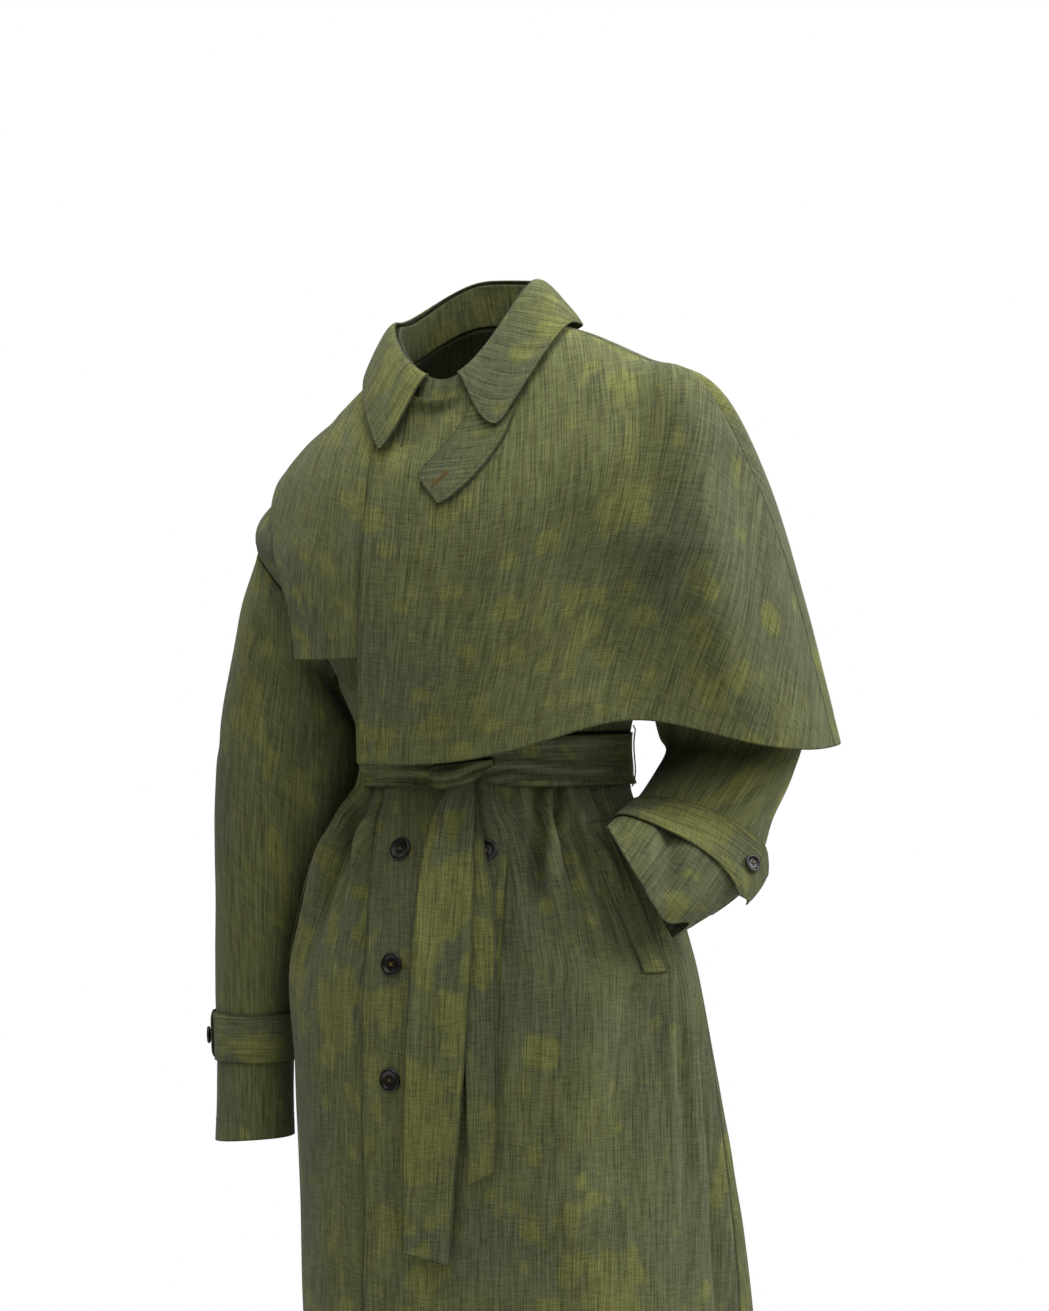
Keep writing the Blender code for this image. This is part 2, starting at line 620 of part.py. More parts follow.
def strip_on(surface, rows, off, near):
    """Places a strip whose middle line is a table of across, height and half width on a surface."""
    lines = table(rows)

    def place(u, v):
        line = between_rows(lines, v * (len(lines) - 1))
        ahead = between_rows(lines, v * (len(lines) - 1) + 0.02)
        behind = between_rows(lines, v * (len(lines) - 1) - 0.02)
        run = (ahead - behind)[:, :2]
        run /= np.linalg.norm(run, axis=1, keepdims=True)
        half = line[:, -1] * (2 * u - 1)
        across = line[:, 0] + run[:, 1] * half
        height = line[:, 1] - run[:, 0] * half
        angle, row = find_spot(surface, across, height, *near)
        return moved_out(surface, angle, row, off(line, u))[0]

    return place


def build_throat_tab():
    """The tab that hangs from under the left collar point onto the cape."""
    place = strip_on(cape, THROAT_TAB, lambda line, u: TAB_STANDS_OFF + 0 * u, NEAR_THROAT)
    cloth("throat_tab", place, 5, 9, wall=COLLAR_WALL, flip=False)


def build_belt():
    """The belt round the waist, the knot's band and the two tails that hang from it."""

    def ring(u, v):
        angle = KNOT_ANGLE + 360.0 * u
        pinch = KNOT_PINCH * np.exp(-((turn_between(angle, KNOT_ANGLE) / KNOT_SPREAD) ** 2))
        half = BELT_WIDTH / 2 - pinch
        row = body_row_at(belt_height(angle) + half * (1 - 2 * v))
        return moved_out(body, angle, row, BELT_STANDS_OFF + 0 * u)[0]

    def tail(rows, slant):
        lines = table(rows)

        def place(u, v):
            line = between_rows(lines, v * (len(lines) - 1))
            across = line[:, 1] + (line[:, 2] - line[:, 1]) * u
            height = line[:, 0] - slant * (u - 0.5) * ease(0.8, 1.0, v)
            angle, row = find_spot(body, across, height, *NEAR_TAILS)
            return moved_out(body, angle, row, line[:, 3])[0]

        return place

    knot = strip_on(body, KNOT, lambda line, u: line[:, 2] - line[:, 3] * (2 * u - 1) ** 2, NEAR_KNOT)
    cloth("belt", ring, 48, 2, wall=BELT_WALL, closed=True)
    cloth("belt_knot", knot, 4, 10, wall=KNOT_WALL, flip=False)
    cloth("belt_tail_long", tail(LONG_TAIL, TAIL_END_SLANT["long"]), 3, 18, wall=BELT_WALL)
    cloth("belt_tail_short", tail(SHORT_TAIL, TAIL_END_SLANT["short"]), 3, 16, wall=BELT_WALL)


def build_belt_loop(side):
    """A narrow strip over the belt at the side, standing clear of it."""
    angle = LOOP_ANGLES[side]
    half_turn = math.degrees(LOOP_WIDTH / 2 / WAIST_RADIUS)

    def place(u, v):
        height = belt_height(angle) + LOOP_RISE + LOOP_HALF_HEIGHT * (1 - 2 * v)
        bridge = LOOP_BRIDGE * ease(0.0, LOOP_BRIDGE_SHARE, v) * ease(1.0, 1.0 - LOOP_BRIDGE_SHARE, v)
        off = LOOP_STANDS_OFF + bridge
        return moved_out(body, angle + half_turn * (2 * u - 1), body_row_at(height), off)[0]

    cloth(f"belt_loop_{side}", place, 1, 14)


def build_pocket_welt(side):
    """A slanted welt on the skirt's side front."""
    welt = POCKET_WELTS[side]

    def place(u, v):
        height = welt.top_height + (welt.foot_height - welt.top_height) * v
        middle = welt.top_angle + (welt.foot_angle - welt.top_angle) * v
        angle = middle + math.degrees(welt.width / 2 / SKIRT_RADIUS) * (2 * u - 1)
        return moved_out(body, angle, body_row_at(height), welt.stands_off + 0 * u)[0]

    cloth(f"pocket_welt_{side}", place, 3, 10)


def strap_surface(side):
    """The cuff strap as a surface: u along it to its pointed end, v across it."""
    surface = sleeve_surface(side)
    strap = CUFF_STRAPS[side]
    out = -1 if side == "left" else 1

    def place(u, v):
        angle = strap.start + (strap.finish - strap.start) * u
        point = ease(STRAP_POINT_FROM, 1.0, u)
        middle = (strap.upper + strap.lower) / 2
        half = (strap.upper - middle) * (1 - 2 * v) * (1 - STRAP_POINT_NARROWS * point)
        row = middle + half - strap.tilt * np.maximum(np.sin(np.radians(angle)), 0.0)
        off = STRAP_STANDS_OFF + strap.end_rise * ease(*STRAP_RISES_WITHIN, u)
        return moved_out(surface, angle, row, out * off)[0]

    return place


def build_cuff_strap(side):
    """A strap round the lower sleeve, its pointed end on the outside, with its button."""
    place = strap_surface(side)
    cloth(f"cuff_strap_{side}", place, 32, 2, wall=STRAP_WALL, flip=False)
    strap = CUFF_STRAPS[side]
    along = np.array([(strap.button - strap.start) / (strap.finish - strap.start)])
    off = np.array([CUFF_BUTTON_OFF])
    seat, normal = moved_out(place, along, np.array([0.5]), off, STRAP_STEPS)
    build_button(f"cuff_button_{side}", CUFF_BUTTON_DIAMETER, seat[0], normal[0])


def build_button(name, diameter, seat, normal):
    """A turned button with a rim and a dished face, sitting on the cloth."""
    radius, height = diameter / 2, BUTTON_THICKNESS
    profile = (
        (0.0, 0.62 * height),
        (0.55 * radius, 0.66 * height),
        (0.74 * radius, height),
        (0.92 * radius, 0.94 * height),
        (radius, 0.6 * height),
        (0.95 * radius, 0.25 * height),
        (0.6 * radius, 0.0),
        (0.0, 0.0),
    )
    bm = bmesh.new()
    verts = [bm.verts.new((r * MM, 0.0, z * MM)) for r, z in profile]
    for first, second in zip(verts, verts[1:]):
        bm.edges.new((first, second))
    mesh = bpy.data.meshes.new(name)
    bm.to_mesh(mesh)
    bm.free()
    made = add_object(name, mesh, HORN)
    turn = made.modifiers.new("turn", "SCREW")
    turn.steps = turn.render_steps = 12
    turn.use_merge_vertices = True
    turn.merge_threshold = 0.0001
    turn.use_normal_calculate = True
    made.location = [value * MM for value in seat]
    made.rotation_mode = "QUATERNION"
    made.rotation_quaternion = Z_AXIS.rotation_difference(tuple(normal))
    return made


def build_front_buttons():
    """Two columns of buttons down the lapped fronts."""
    for column, across in BUTTON_COLUMNS.items():
        for number, place in enumerate(BUTTON_ROWS, start=1):
            angle, row = find_spot(body, np.array([across]), np.array([place.height]), *NEAR_BUTTONS)
            seat, normal = moved_out(body, angle, row, np.array([place.stands_off]))
            build_button(f"front_button_{column}_{number}", FRONT_BUTTON_DIAMETER, seat[0], normal[0])


def build_coat():
    """Every piece of the coat."""
    build_body()
    build_cape()
    build_collar()
    build_throat_tab()
    build_belt()
    build_front_buttons()
    for side in ("left", "right"):
        build_sleeve(side)
        build_cuff_strap(side)
        build_belt_loop(side)
        build_pocket_welt(side)


for left_over in list(bpy.data.objects):
    bpy.data.objects.remove(left_over)
Z_AXIS = Vector((0.0, 0.0, 1.0))
COAT = bpy.data.collections.new("cape_trench_coat")
bpy.context.scene.collection.children.link(COAT)
COAT_ORIGIN = bpy.data.objects.new("coat_origin", None)
COAT.objects.link(COAT_ORIGIN)
CLOTH = material("dyed_slub_canvas", CLOTH_GREEN, 0.85)
HORN = material("dark_horn", HORN_BROWN, 0.35)
build_coat()
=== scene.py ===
"""Looks of the cape trench coat: its cloth, creases, seams, stitches and buttons, on a pale stage.

The tables are in millimetres, in the part's own frame: +X to the coat's left, -Y out of the front
and +Z up from the middle of the neck. Each piece of cloth is a fine grid on the same lofted surface
as its solid. It carries its flat cut as a UV map, so that creases, thread and dye follow the cloth.
"""

import math
from collections import namedtuple

import bmesh
import bpy
import numpy as np
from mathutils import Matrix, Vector


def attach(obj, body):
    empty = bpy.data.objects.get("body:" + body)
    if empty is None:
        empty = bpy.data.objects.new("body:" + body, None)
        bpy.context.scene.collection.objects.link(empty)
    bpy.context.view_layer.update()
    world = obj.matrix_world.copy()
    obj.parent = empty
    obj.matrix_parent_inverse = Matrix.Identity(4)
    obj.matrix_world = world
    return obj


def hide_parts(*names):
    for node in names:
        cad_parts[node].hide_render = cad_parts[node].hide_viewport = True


bl_info = {
    "name": "Cape trench coat",
    "version": (1, 0, 0),
    "blender": (4, 5, 0),
    "location": "3D View > Sidebar > Coat",
    "description": "Dresses the packed cape trench coat in creased, sewn and dyed cloth",
    "category": "Object",
}

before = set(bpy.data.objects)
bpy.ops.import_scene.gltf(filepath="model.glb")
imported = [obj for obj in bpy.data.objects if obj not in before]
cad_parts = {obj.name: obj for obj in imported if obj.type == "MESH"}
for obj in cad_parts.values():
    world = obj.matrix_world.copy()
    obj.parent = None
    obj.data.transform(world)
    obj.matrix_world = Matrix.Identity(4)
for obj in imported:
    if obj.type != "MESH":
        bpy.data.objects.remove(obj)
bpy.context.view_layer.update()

MM = 0.001
CLOTH_SLOT, HORN_SLOT = "dyed_slub_canvas", "dark_horn"

# The gap between two panels at a seam
SEAM_GAP = 0.4

# The coat is turned from the viewer by this much, which sets the sleeves' tables
VIEW_TURN = math.radians(20.0)
VIEW_ACROSS = np.array([math.cos(VIEW_TURN), math.sin(VIEW_TURN), 0.0])
VIEW_AWAY = np.array([-math.sin(VIEW_TURN), math.cos(VIEW_TURN), 0.0])

# Front edges, measured across the body from the neck's middle. They stay within a share of each
# ring's half width. The right front slopes inward, and dips, where it passes under the left one.
LEFT_FRONT_EDGE_X = -68.0
RIGHT_FRONT_EDGE_X = 96.0
FRONT_EDGE_SHARE = 0.72
UNDERLAP_DEPTH = 4.2
UNDERLAP_SLOPE = (19.0, 5.0)
UNDERLAP_DIP, UNDERLAP_DIP_TURN = 3.0, 3.0

# Angles round the body in degrees: left 0, back 90, right 180, front 270
LEFT_SHOULDER, RIGHT_SHOULDER = 360.0, 180.0
LEFT_SIDE_SEAM, RIGHT_SIDE_SEAM = 376.0, 170.0
CAPE_ARM_SEAM = 356.0

# Armholes: the rows of the body's rings that they lie between, and their half width in degrees
ARMHOLE_TOP_ROW, ARMHOLE_FOOT_ROW = 4.0, 5.0
ARMHOLE_MIDDLE_ROW = (ARMHOLE_TOP_ROW + ARMHOLE_FOOT_ROW) / 2
ARMHOLE_HALF_ANGLE = 29.0
ARMHOLE_RADIUS = 75.0
ARMHOLE_INSET = 1.4

# A side seam leaves the shoulder's line over so many rows below the armhole. The body is about this
# radius there, which turns the seam's gap into degrees.
SIDE_SEAM_ROWS, SIDE_RADIUS = 2.0, 180.0

# Belt
BELT_HEIGHT, BELT_TILT = -423.0, 2.5
BELT_WIDTH = 58.0
BELT_WALL = 1.8
BELT_STANDS_OFF = 3.2
KNOT_ANGLE, KNOT_SPREAD, KNOT_PINCH = 270.0, 13.0, 13.0

# Buttons: outer diameter and thickness, their two columns across the body, and each row's height and
# distance off the front
FRONT_BUTTON_DIAMETER, CUFF_BUTTON_DIAMETER = 26.5, 20.0
BUTTON_THICKNESS = 4.0
BUTTON_COLUMNS = {"right": -31.0, "left": 71.0}
ButtonRow = namedtuple("ButtonRow", "height stands_off")
BUTTON_ROWS = (ButtonRow(-520.0, 0.35), ButtonRow(-646.0, 0.65), ButtonRow(-773.0, 0.85))

# A button's outline from the middle of its face round to the middle of its back, as shares of its
# radius and its thickness. The thread starts from the dish in its face.
BUTTON_OUTLINE = (
    (0.0, 0.60), (0.30, 0.60), (0.52, 0.62), (0.62, 0.72), (0.70, 0.90), (0.78, 0.99), (0.86, 1.0),
    (0.93, 0.93), (0.98, 0.78), (1.0, 0.58), (0.985, 0.38), (0.94, 0.22), (0.8, 0.08), (0.6, 0.0), (0.0, 0.0),
)
BUTTON_SIDES = 64
BUTTON_SHARP_ANGLE = math.radians(50.0)
BUTTON_DISH = 0.62

# Four holes on a circle, given as a share of the button's radius, and the thread crossed through them
HOLE_CIRCLE, HOLE_RADIUS, HOLE_SIDES = 0.24, 1.15, 16
HOLE_TURNS = [math.radians(45.0 + 90.0 * k) for k in range(4)]
DRILL_LENGTH = 20.0
THREAD_RADIUS, THREAD_STEPS = 0.5, 9
THREAD_ARCH, THREAD_SINK = 0.75, 1.1

# Buttonholes: how far one reaches to each side of its button, and its thread round a squarish slit
BUTTONHOLE_REACH, BUTTONHOLE_OFF = (-5.0, 17.5), 0.8
BUTTONHOLE_HALF_WIDTH, BUTTONHOLE_THREAD = 1.1, 0.7
BUTTONHOLE_STEPS, BUTTONHOLE_SQUARENESS = 41, 0.35

# A round thread's sides, and a slanted direction that sets where they start
TUBE_SIDES, TUBE_SLANT = 8, (0.31, 0.74, 0.59)

# A ring of a lofted surface passes through four points, in this order
RIGHT, FRONT, LEFT, BACK = range(4)
Ring = namedtuple("Ring", "right front left back")

# The coat's body from the neck seam to the hem: where each ring passes on the coat's right,
# front, left and back. Rows 4 and 5 are the top and the foot of the armholes.
BODY_RINGS = (
    Ring((-84, 8, 18), (4, -76, -30), (88, 8, 62), (4, 86, 70)),
    Ring((-130, 12, -30), (6, -90, -72), (142, 10, 42), (6, 112, 45)),
    Ring((-174, 15, -78), (10, -110, -128), (204, 12, 12), (10, 138, -5)),
    Ring((-222, 18, -119), (14, -125, -185), (264, 14, -28), (14, 154, -75)),
    Ring((-250, 14, -182), (16, -132, -228), (312, 24, -108), (16, 162, -150)),
    Ring((-160, 22, -318), (20, -128, -280), (220, 24, -292), (20, 160, -275)),
    Ring((-146, 21, -345), (24, -122, -345), (200, 21, -345), (24, 148, -345)),
    Ring((-125, 20, -395), (28, -104, -395), (188, 20, -395), (28, 134, -395)),
    Ring((-121, 20, -432), (34, -93, -432), (189, 20, -432), (34, 132, -432)),
    Ring((-123, 20, -464), (34, -95, -464), (191, 20, -464), (34, 134, -464)),
    Ring((-164, 22, -525), (33, -116, -525), (222, 22, -525), (33, 158, -525)),
    Ring((-190, 25, -616), (31, -135, -616), (252, 25, -616), (31, 182, -616)),
    Ring((-206, 28, -706), (30, -143, -706), (266, 28, -706), (30, 198, -706)),
    Ring((-200, 28, -900), (41, -145, -900), (279, 28, -900), (41, 201, -900)),
    Ring((-190, 28, -1190), (54, -148, -1190), (298, 28, -1190), (54, 206, -1190)),
)

# The rings are level from this row down
FIRST_LEVEL_ROW = 6

# Rows where the flat cuts are level, and where the skirt is as wide as the cloth gathered above it
WAIST_ROW, HIP_ROW = 9.0, 11.4

# The cape from the neck seam to its hem, over the left sleeve, the back and the right front
CAPE_RINGS = (
    Ring((-90, 8, 26), (4, -84, -22), (95, 8, 70), (4, 94, 80)),
    Ring((-141, 12, -22), (6, -102, -68), (150, 10, 54), (6, 124, 54)),
    Ring((-193, 15, -68), (10, -126, -126), (215, 12, 25), (10, 152, 6)),
    Ring((-230, 18, -113), (14, -142, -188), (280, 16, -3), (14, 172, -66)),
    Ring((-264, 18, -180), (16, -149, -250), (322, 36, -75), (20, 186, -150)),
    Ring((-292, 30, -272), (16, -152, -335), (367, 66, -207), (30, 206, -275)),
    Ring((-306, 34, -400), (16, -151, -428), (410, 110, -412), (40, 222, -425)),
)
CAPE_LAST_ROW = len(CAPE_RINGS) - 1

# The right side of the cape: its back and its flap swing away from the shoulder's line between
# these rows, by so many degrees. The flap ends above the cape's hem and lies under its front edge.
CAPE_BACK_SWING, CAPE_BACK_SWING_ROWS = 30.0, (2.6, 5.0)
FLAP_SWING, FLAP_SWING_ROWS = 55.5, (2.5, 5.1)
FLAP_LAST_ROWS = (4.96, 4.70)
FLAP_UNDERLAP = 34.0
FLAP_DEPTH, FLAP_SINKS_WITHIN = 4.0, 40.0

# The collar: the neck seam that the stand rises from, the fold that the fall turns over, its edge
STAND_FOOT = Ring((-84, 8, 20), (4, -76, -28), (88, 8, 64), (4, 86, 72))
COLLAR_FOLD = Ring((-78, 6, 72), (4, -72, 4), (87, 6, 116), (4, 86, 124))
COLLAR_ROLL = 4.0
STAND_LAP = 3.6
STAND_SITS_IN = 6.2
STAND_FOOT_IN = 1.0
STAND_ANGLES = (250.0, 655.0)
STAND_TOP = 0.88
STAND_LAP_SHARES = (0.20, 0.12)
FALL_FOLD_ANGLES = (-78.0, 258.0)
FALL_EDGE_ANGLES = (-52.5, 237.0)
COLLAR_EDGE = Ring((-110, 8, 20), (4, -130, -120), (132, 10, 68), (6, 136, 62))

# The fall rolls outward between its fold and its edge, fullest above the middle, and up by a share
COLLAR_ROLL_HIGH, COLLAR_ROLL_RISE = 0.6, 0.8

Fold = namedtuple("Fold", "angle drift width depth top full fade bottom")

# The skirt's gathers under the belt and its long flutes. angle and drift are degrees, drift the
# turn by the foot; depth is outward; the heights say where it starts, is full, fades and ends.
SKIRT_FOLDS = (
    Fold(22, 4, 12.0, 44, -560, -1080, -1200, -1300),
    Fold(363, 4, 6.0, -15, -600, -800, -1200, -1300),
    Fold(351, 4, 7.0, 7, -600, -760, -1200, -1300),
    Fold(330, 4, 6.0, -7, -464, -520, -560, -680),
    Fold(318, 8, 5.5, -15, -464, -505, -560, -660),
    Fold(306, 4, 5.5, 8, -464, -500, -540, -660),
    Fold(296, 2, 5.5, -9, -464, -500, -530, -620),
    Fold(231, -4, 6.0, 7, -464, -500, -560, -680),
    Fold(219, -7, 6.0, -17, -464, -510, -570, -690),
    Fold(203, -3, 9.0, 12, -464, -520, -620, -780),
    Fold(150, -4, 6.5, -14, -464, -520, -600, -760),
    Fold(128, -2, 6.5, 11, -464, -530, -640, -800),
    Fold(108, 0, 6.5, -13, -464, -520, -620, -820),
    Fold(86, 2, 7.0, 12, -464, -530, -700, -900),
    Fold(66, 4, 6.5, -14, -464, -520, -600, -760),
    Fold(140, -4, 14.0, 26, -640, -1080, -1200, -1300),
    Fold(100, 0, 11.0, -20, -640, -1080, -1200, -1300),
    Fold(62, 0, 11.0, 16, -640, -1080, -1200, -1300),
)

# The cape's broad flutes, in the same terms
CAPE_FOLDS = (
    Fold(308, -2, 15.0, -26, -80, -330, -600, -700),
    Fold(338, 2, 12.0, 8, -60, -280, -600, -700),
    Fold(38, 0, 13.0, 16, -80, -340, -600, -700),
    Fold(66, 0, 10.0, -14, -60, -340, -600, -700),
    Fold(96, 0, 11.0, 14, -60, -340, -600, -700),
    Fold(124, 0, 10.0, -14, -60, -340, -600, -700),
)

# Where the cape's hem is lifted, in front and behind: angle, rise and half width in degrees
HemLift = namedtuple("HemLift", "angle rise width")
CAPE_HEM_LIFTS = (HemLift(305, 46, 15), HemLift(76, 76, 34))

# Sleeves: each ring by its inner and outer point as the viewer sees them (across, height), how far
# it lies behind the neck's middle, and its half depth
SleeveRow = namedtuple("SleeveRow", "in_across in_height out_across out_height behind half_depth")
LEFT_SLEEVE = (
    SleeveRow(236, -302, 335, -152, -48, 80),
    SleeveRow(225, -332, 360, -226, -30, 80),
    SleeveRow(217, -366, 379, -310, -10, 75),
    SleeveRow(224, -398, 388, -385, 0, 70),
    SleeveRow(231, -413, 373, -439, -22, 62),
    SleeveRow(216, -439, 349, -486, -52, 54),
    SleeveRow(196, -464, 333, -529, -84, 46),
    SleeveRow(179, -478, 305, -569, -116, 40),
    SleeveRow(161, -493, 232, -614, -148, 34),
)
RIGHT_SLEEVE = (
    SleeveRow(-152, -339, -252, -239, 86, 72),
    SleeveRow(-130, -371, -264, -300, 94, 78),
    SleeveRow(-116, -407, -276, -361, 101, 79),
    SleeveRow(-112, -437, -283, -418, 105, 79),
    SleeveRow(-126, -484, -287, -474, 111, 78),
    SleeveRow(-157, -546, -288, -541, 117, 75),
    SleeveRow(-183, -618, -287, -618, 121, 71),
    SleeveRow(-196, -701, -287, -701, 124, 67),
    SleeveRow(-198, -783, -285, -783, 124, 64),
    SleeveRow(-196, -861, -287, -867, 124, 62),
)
SLEEVES = {"left": LEFT_SLEEVE, "right": RIGHT_SLEEVE}
SLEEVE_LENGTHS = {"left": 520.0, "right": 640.0}

# The left sleeve's angles run the other way round than the right one's
SLEEVE_SENSE = {"left": -1, "right": 1}

# The left cuff's own flat cut starts at this share of the sleeve, and slopes with the lower sleeve
CUFF_CUT_FROM, CUFF_SLOPE = 0.82, math.radians(37.0)

# Cuff straps: the sleeve rows that each strap's two edges lie on, and the angles round the sleeve
# where it starts, where its point ends and where its button sits. On the sleeve's front it lies
# higher by so many rows, and its end rises off the sleeve.
Strap = namedtuple("Strap", "upper lower start finish button tilt end_rise")
STRAP_WALL = 1.8
STRAP_STANDS_OFF = 3.2
STRAP_POINT_FROM, STRAP_POINT_NARROWS = 0.93, 0.45
STRAP_RISES_WITHIN = (0.85, 1.0)
CUFF_BUTTON_OFF = STRAP_WALL / 2 + 0.4
CUFF_STRAPS = {
    "left": Strap(7.2, 8.4, 350.0, 8.0, 35.0, 0.8, 12.0),
    "right": Strap(8.2, 8.88, -352.0, 14.0, 4.0, 0.0, 3.4),
}

# Where each cuff's end is cut back: the middle angle, the half width in degrees and the depth in rows
CuffGape = namedtuple("CuffGape", "angle width depth")
CUFF_GAPES = {"left": CuffGape(24.0, 15.0, 0.34), "right": CuffGape(90.0, 60.0, 0.06)}

# The belt's tails: where their two edges lie across the body at each height, and how far off the skirt
TailRow = namedtuple("TailRow", "height left right off")
LONG_TAIL = (
    TailRow(-430, 30, 52, 8.15),
    TailRow(-448, 25, 53, 8.5),
    TailRow(-478, 13, 56, 10.8),
    TailRow(-518, 7, 61, 12.5),
    TailRow(-629, 2, 66, 12.5),
    TailRow(-765, -4, 60, 12.5),
    TailRow(-900, -7, 50, 12.5),
    TailRow(-966, -8, 46, 12.5),
)
SHORT_TAIL = (
    TailRow(-430, 33, 53, 6.0),
    TailRow(-448, 34, 54, 6.3),
    TailRow(-478, 35, 58, 7.2),
    TailRow(-518, 38, 71, 8.4),
    TailRow(-591, 46, 87, 8.4),
    TailRow(-688, 57, 93, 8.4),
    TailRow(-785, 62, 95, 8.4),
    TailRow(-876, 64, 93, 8.4),
)

# Each tail's end is cut at a slant, within the last of its length
Tail = namedtuple("Tail", "rows end_slant")
BELT_TAILS = {"long": Tail(LONG_TAIL, 12.0), "short": Tail(SHORT_TAIL, -16.0)}
TAIL_SLANTS_WITHIN = (0.8, 1.0)

# The knot's band along its middle: across, height and stand-off, with how far its edges turn in. It is
# fuller than the solid that it stands for at the left, and up to 3 mm narrower at its right end.
KnotRow = namedtuple("KnotRow", "across height off arch half_width")
KNOT = (
    KnotRow(2, -440, 7.0, 0.0, 10),
    KnotRow(9, -440, 12.5, 1.6, 14),
    KnotRow(22, -438, 18.0, 5.0, 15),
    KnotRow(42, -433, 17.5, 4.6, 13),
    KnotRow(60, -426, 11.5, 1.0, 7.5),
    KnotRow(73, -421, 6.8, 0.0, 4),
)
KNOT_WALL = 3.0

# The throat tab on the cape: its middle line as across and height, with its half width
TabRow = namedtuple("TabRow", "across height half_width")
THROAT_TAB = (
    TabRow(75, -14, 25),
    TabRow(62, -58, 27),
    TabRow(42, -90, 27),
    TabRow(19, -115, 25),
    TabRow(8, -125, 21),
)
TAB_STANDS_OFF = 2.8
TAB_BUTTONHOLE, TAB_BUTTONHOLE_OFF = ((0.5, 0.87), (0.5, 0.62)), 1.6

# Pocket welts: angle and height of the two ends of the middle line, the welt's width and its distance out
PocketWelt = namedtuple("PocketWelt", "top_angle top_height foot_angle foot_height width stands_off")
POCKET_WELTS = {
    "left": PocketWelt(327.0, -490.0, 336.6, -655.0, 38.0, 3.5),
    "right": PocketWelt(204.0, -492.0, 193.0, -652.0, 32.0, 2.9),
}
SKIRT_RADIUS = 210.0

# Belt loops: narrow strips that bridge the belt at the sides
LOOP_ANGLES = {"left": 374.0, "right": 167.0}
LOOP_HALF_HEIGHT = 35.0
LOOP_RISE = 2.0
LOOP_WIDTH = 8.0
LOOP_STANDS_OFF = 2.8
LOOP_BRIDGE, LOOP_BRIDGE_SHARE = 3.2, 0.07
WAIST_RADIUS = 155.0

# Angle and row near which the search for a spot on the cape or the body starts
NEAR_THROAT = (275.0, 1.6)
NEAR_KNOT = (272.0, 8.2)
NEAR_TAILS = (275.0, 10.0)
NEAR_BUTTONS = (270.0, 10.5)

# The search for a spot: its rounds, and the most that the angle and the row change in one
SEARCH_ROUNDS, SEARCH_LIMITS = 40, (8.0, 0.4)

# Small steps that give a surface's slope: in degrees and rows, along and across a strap or the tab as
# shares, and in rows along a strip's middle line
SURFACE_STEPS = (0.5, 0.02)
STRIP_STEPS = (0.004, 0.05)
STRIP_STEP = 0.02

# Samples down the body for finding the row at a height, and for even steps down a panel
HEIGHT_SAMPLES, PANEL_SAMPLES = 400, 1500

# Grids of the body's panels, the sleeves and the belt: about how wide, the steps, and the columns round
FRONT_LEFT_WIDTH, FRONT_RIGHT_WIDTH, BACK_WIDTH = 500.0, 460.0, 640.0
FRONT_STEP, BACK_STEP, SLEEVE_STEP, BELT_STEP = 4.6, 6.5, 5.5, 2.4
SLEEVE_COLUMNS, BELT_COLUMNS = 97, 241
ARMHOLE_STEPS = 34

# Where an edge is sewn or turned in, the grid's lines lie at these distances from it
EDGE_STEPS = (0.0, 0.7, 1.6, 3.0, 4.3, 5.1, 5.7, 6.3, 7.1, 8.6)
ALL_EDGES = ("left", "right", "top", "bottom")
SIDES_AND_FOOT = ("left", "right", "bottom")

# Grids of the other pieces: about how wide and long, the steps across and down, and the finer edges
GridSize = namedtuple("GridSize", "width length across down fine")
GRIDS = {
    "cape_left": GridSize(560.0, 470.0, 5.0, 5.0, SIDES_AND_FOOT),
    "cape_back": GridSize(700.0, 470.0, 5.5, 5.5, SIDES_AND_FOOT),
    "flap_right": GridSize(260.0, 340.0, 5.0, 5.0, SIDES_AND_FOOT),
    "collar_stand": GridSize(620.0, 60.0, 4.5, 4.0, ("left", "right")),
    "collar": GridSize(620.0, 92.0, 4.5, 3.5, SIDES_AND_FOOT),
    "throat_tab": GridSize(52.0, 104.0, 2.5, 3.0, SIDES_AND_FOOT),
    "belt_knot": GridSize(30.0, 84.0, 1.6, 2.0, ()),
    "belt_tail_long": GridSize(60.0, 536.0, 3.0, 5.0, SIDES_AND_FOOT),
    "belt_tail_short": GridSize(40.0, 446.0, 3.0, 5.0, SIDES_AND_FOOT),
    "belt_loop": GridSize(LOOP_WIDTH, 2 * LOOP_HALF_HEIGHT, 1.6, 1.8, ()),
    "pocket_welt_left": GridSize(38.0, 172.0, 2.5, 4.0, ALL_EDGES),
    "pocket_welt_right": GridSize(32.0, 172.0, 2.5, 4.0, ALL_EDGES),
    "cuff_strap": GridSize(330.0, 56.0, 3.5, 2.6, ALL_EDGES),
}

# Radii of the corners, and the flap's width near its foot
CAPE_CORNER, CAPE_BACK_CORNER, FLAP_CORNER, COLLAR_CORNER, TAB_CORNER = 7.0, 12.0, 5.0, 9.0, 8.0
FLAP_FOOT_WIDTH = 150.0

# Pieces cut as part of a ring: its inner radius, and how far the two sides turn from the warp
CAPE_CUT_RADIUS, CAPE_LEFT_TURNS, CAPE_BACK_TURNS = 226.0, (0.0, 48.0), (-36.0, 36.0)
COLLAR_CUT_RADIUS, COLLAR_TURNS = 980.0, (34.0, -2.0)

# Pieces whose warp is turned, in degrees
STAND_GRAIN_TURN, TAB_GRAIN_TURN = 90.0, 60.0

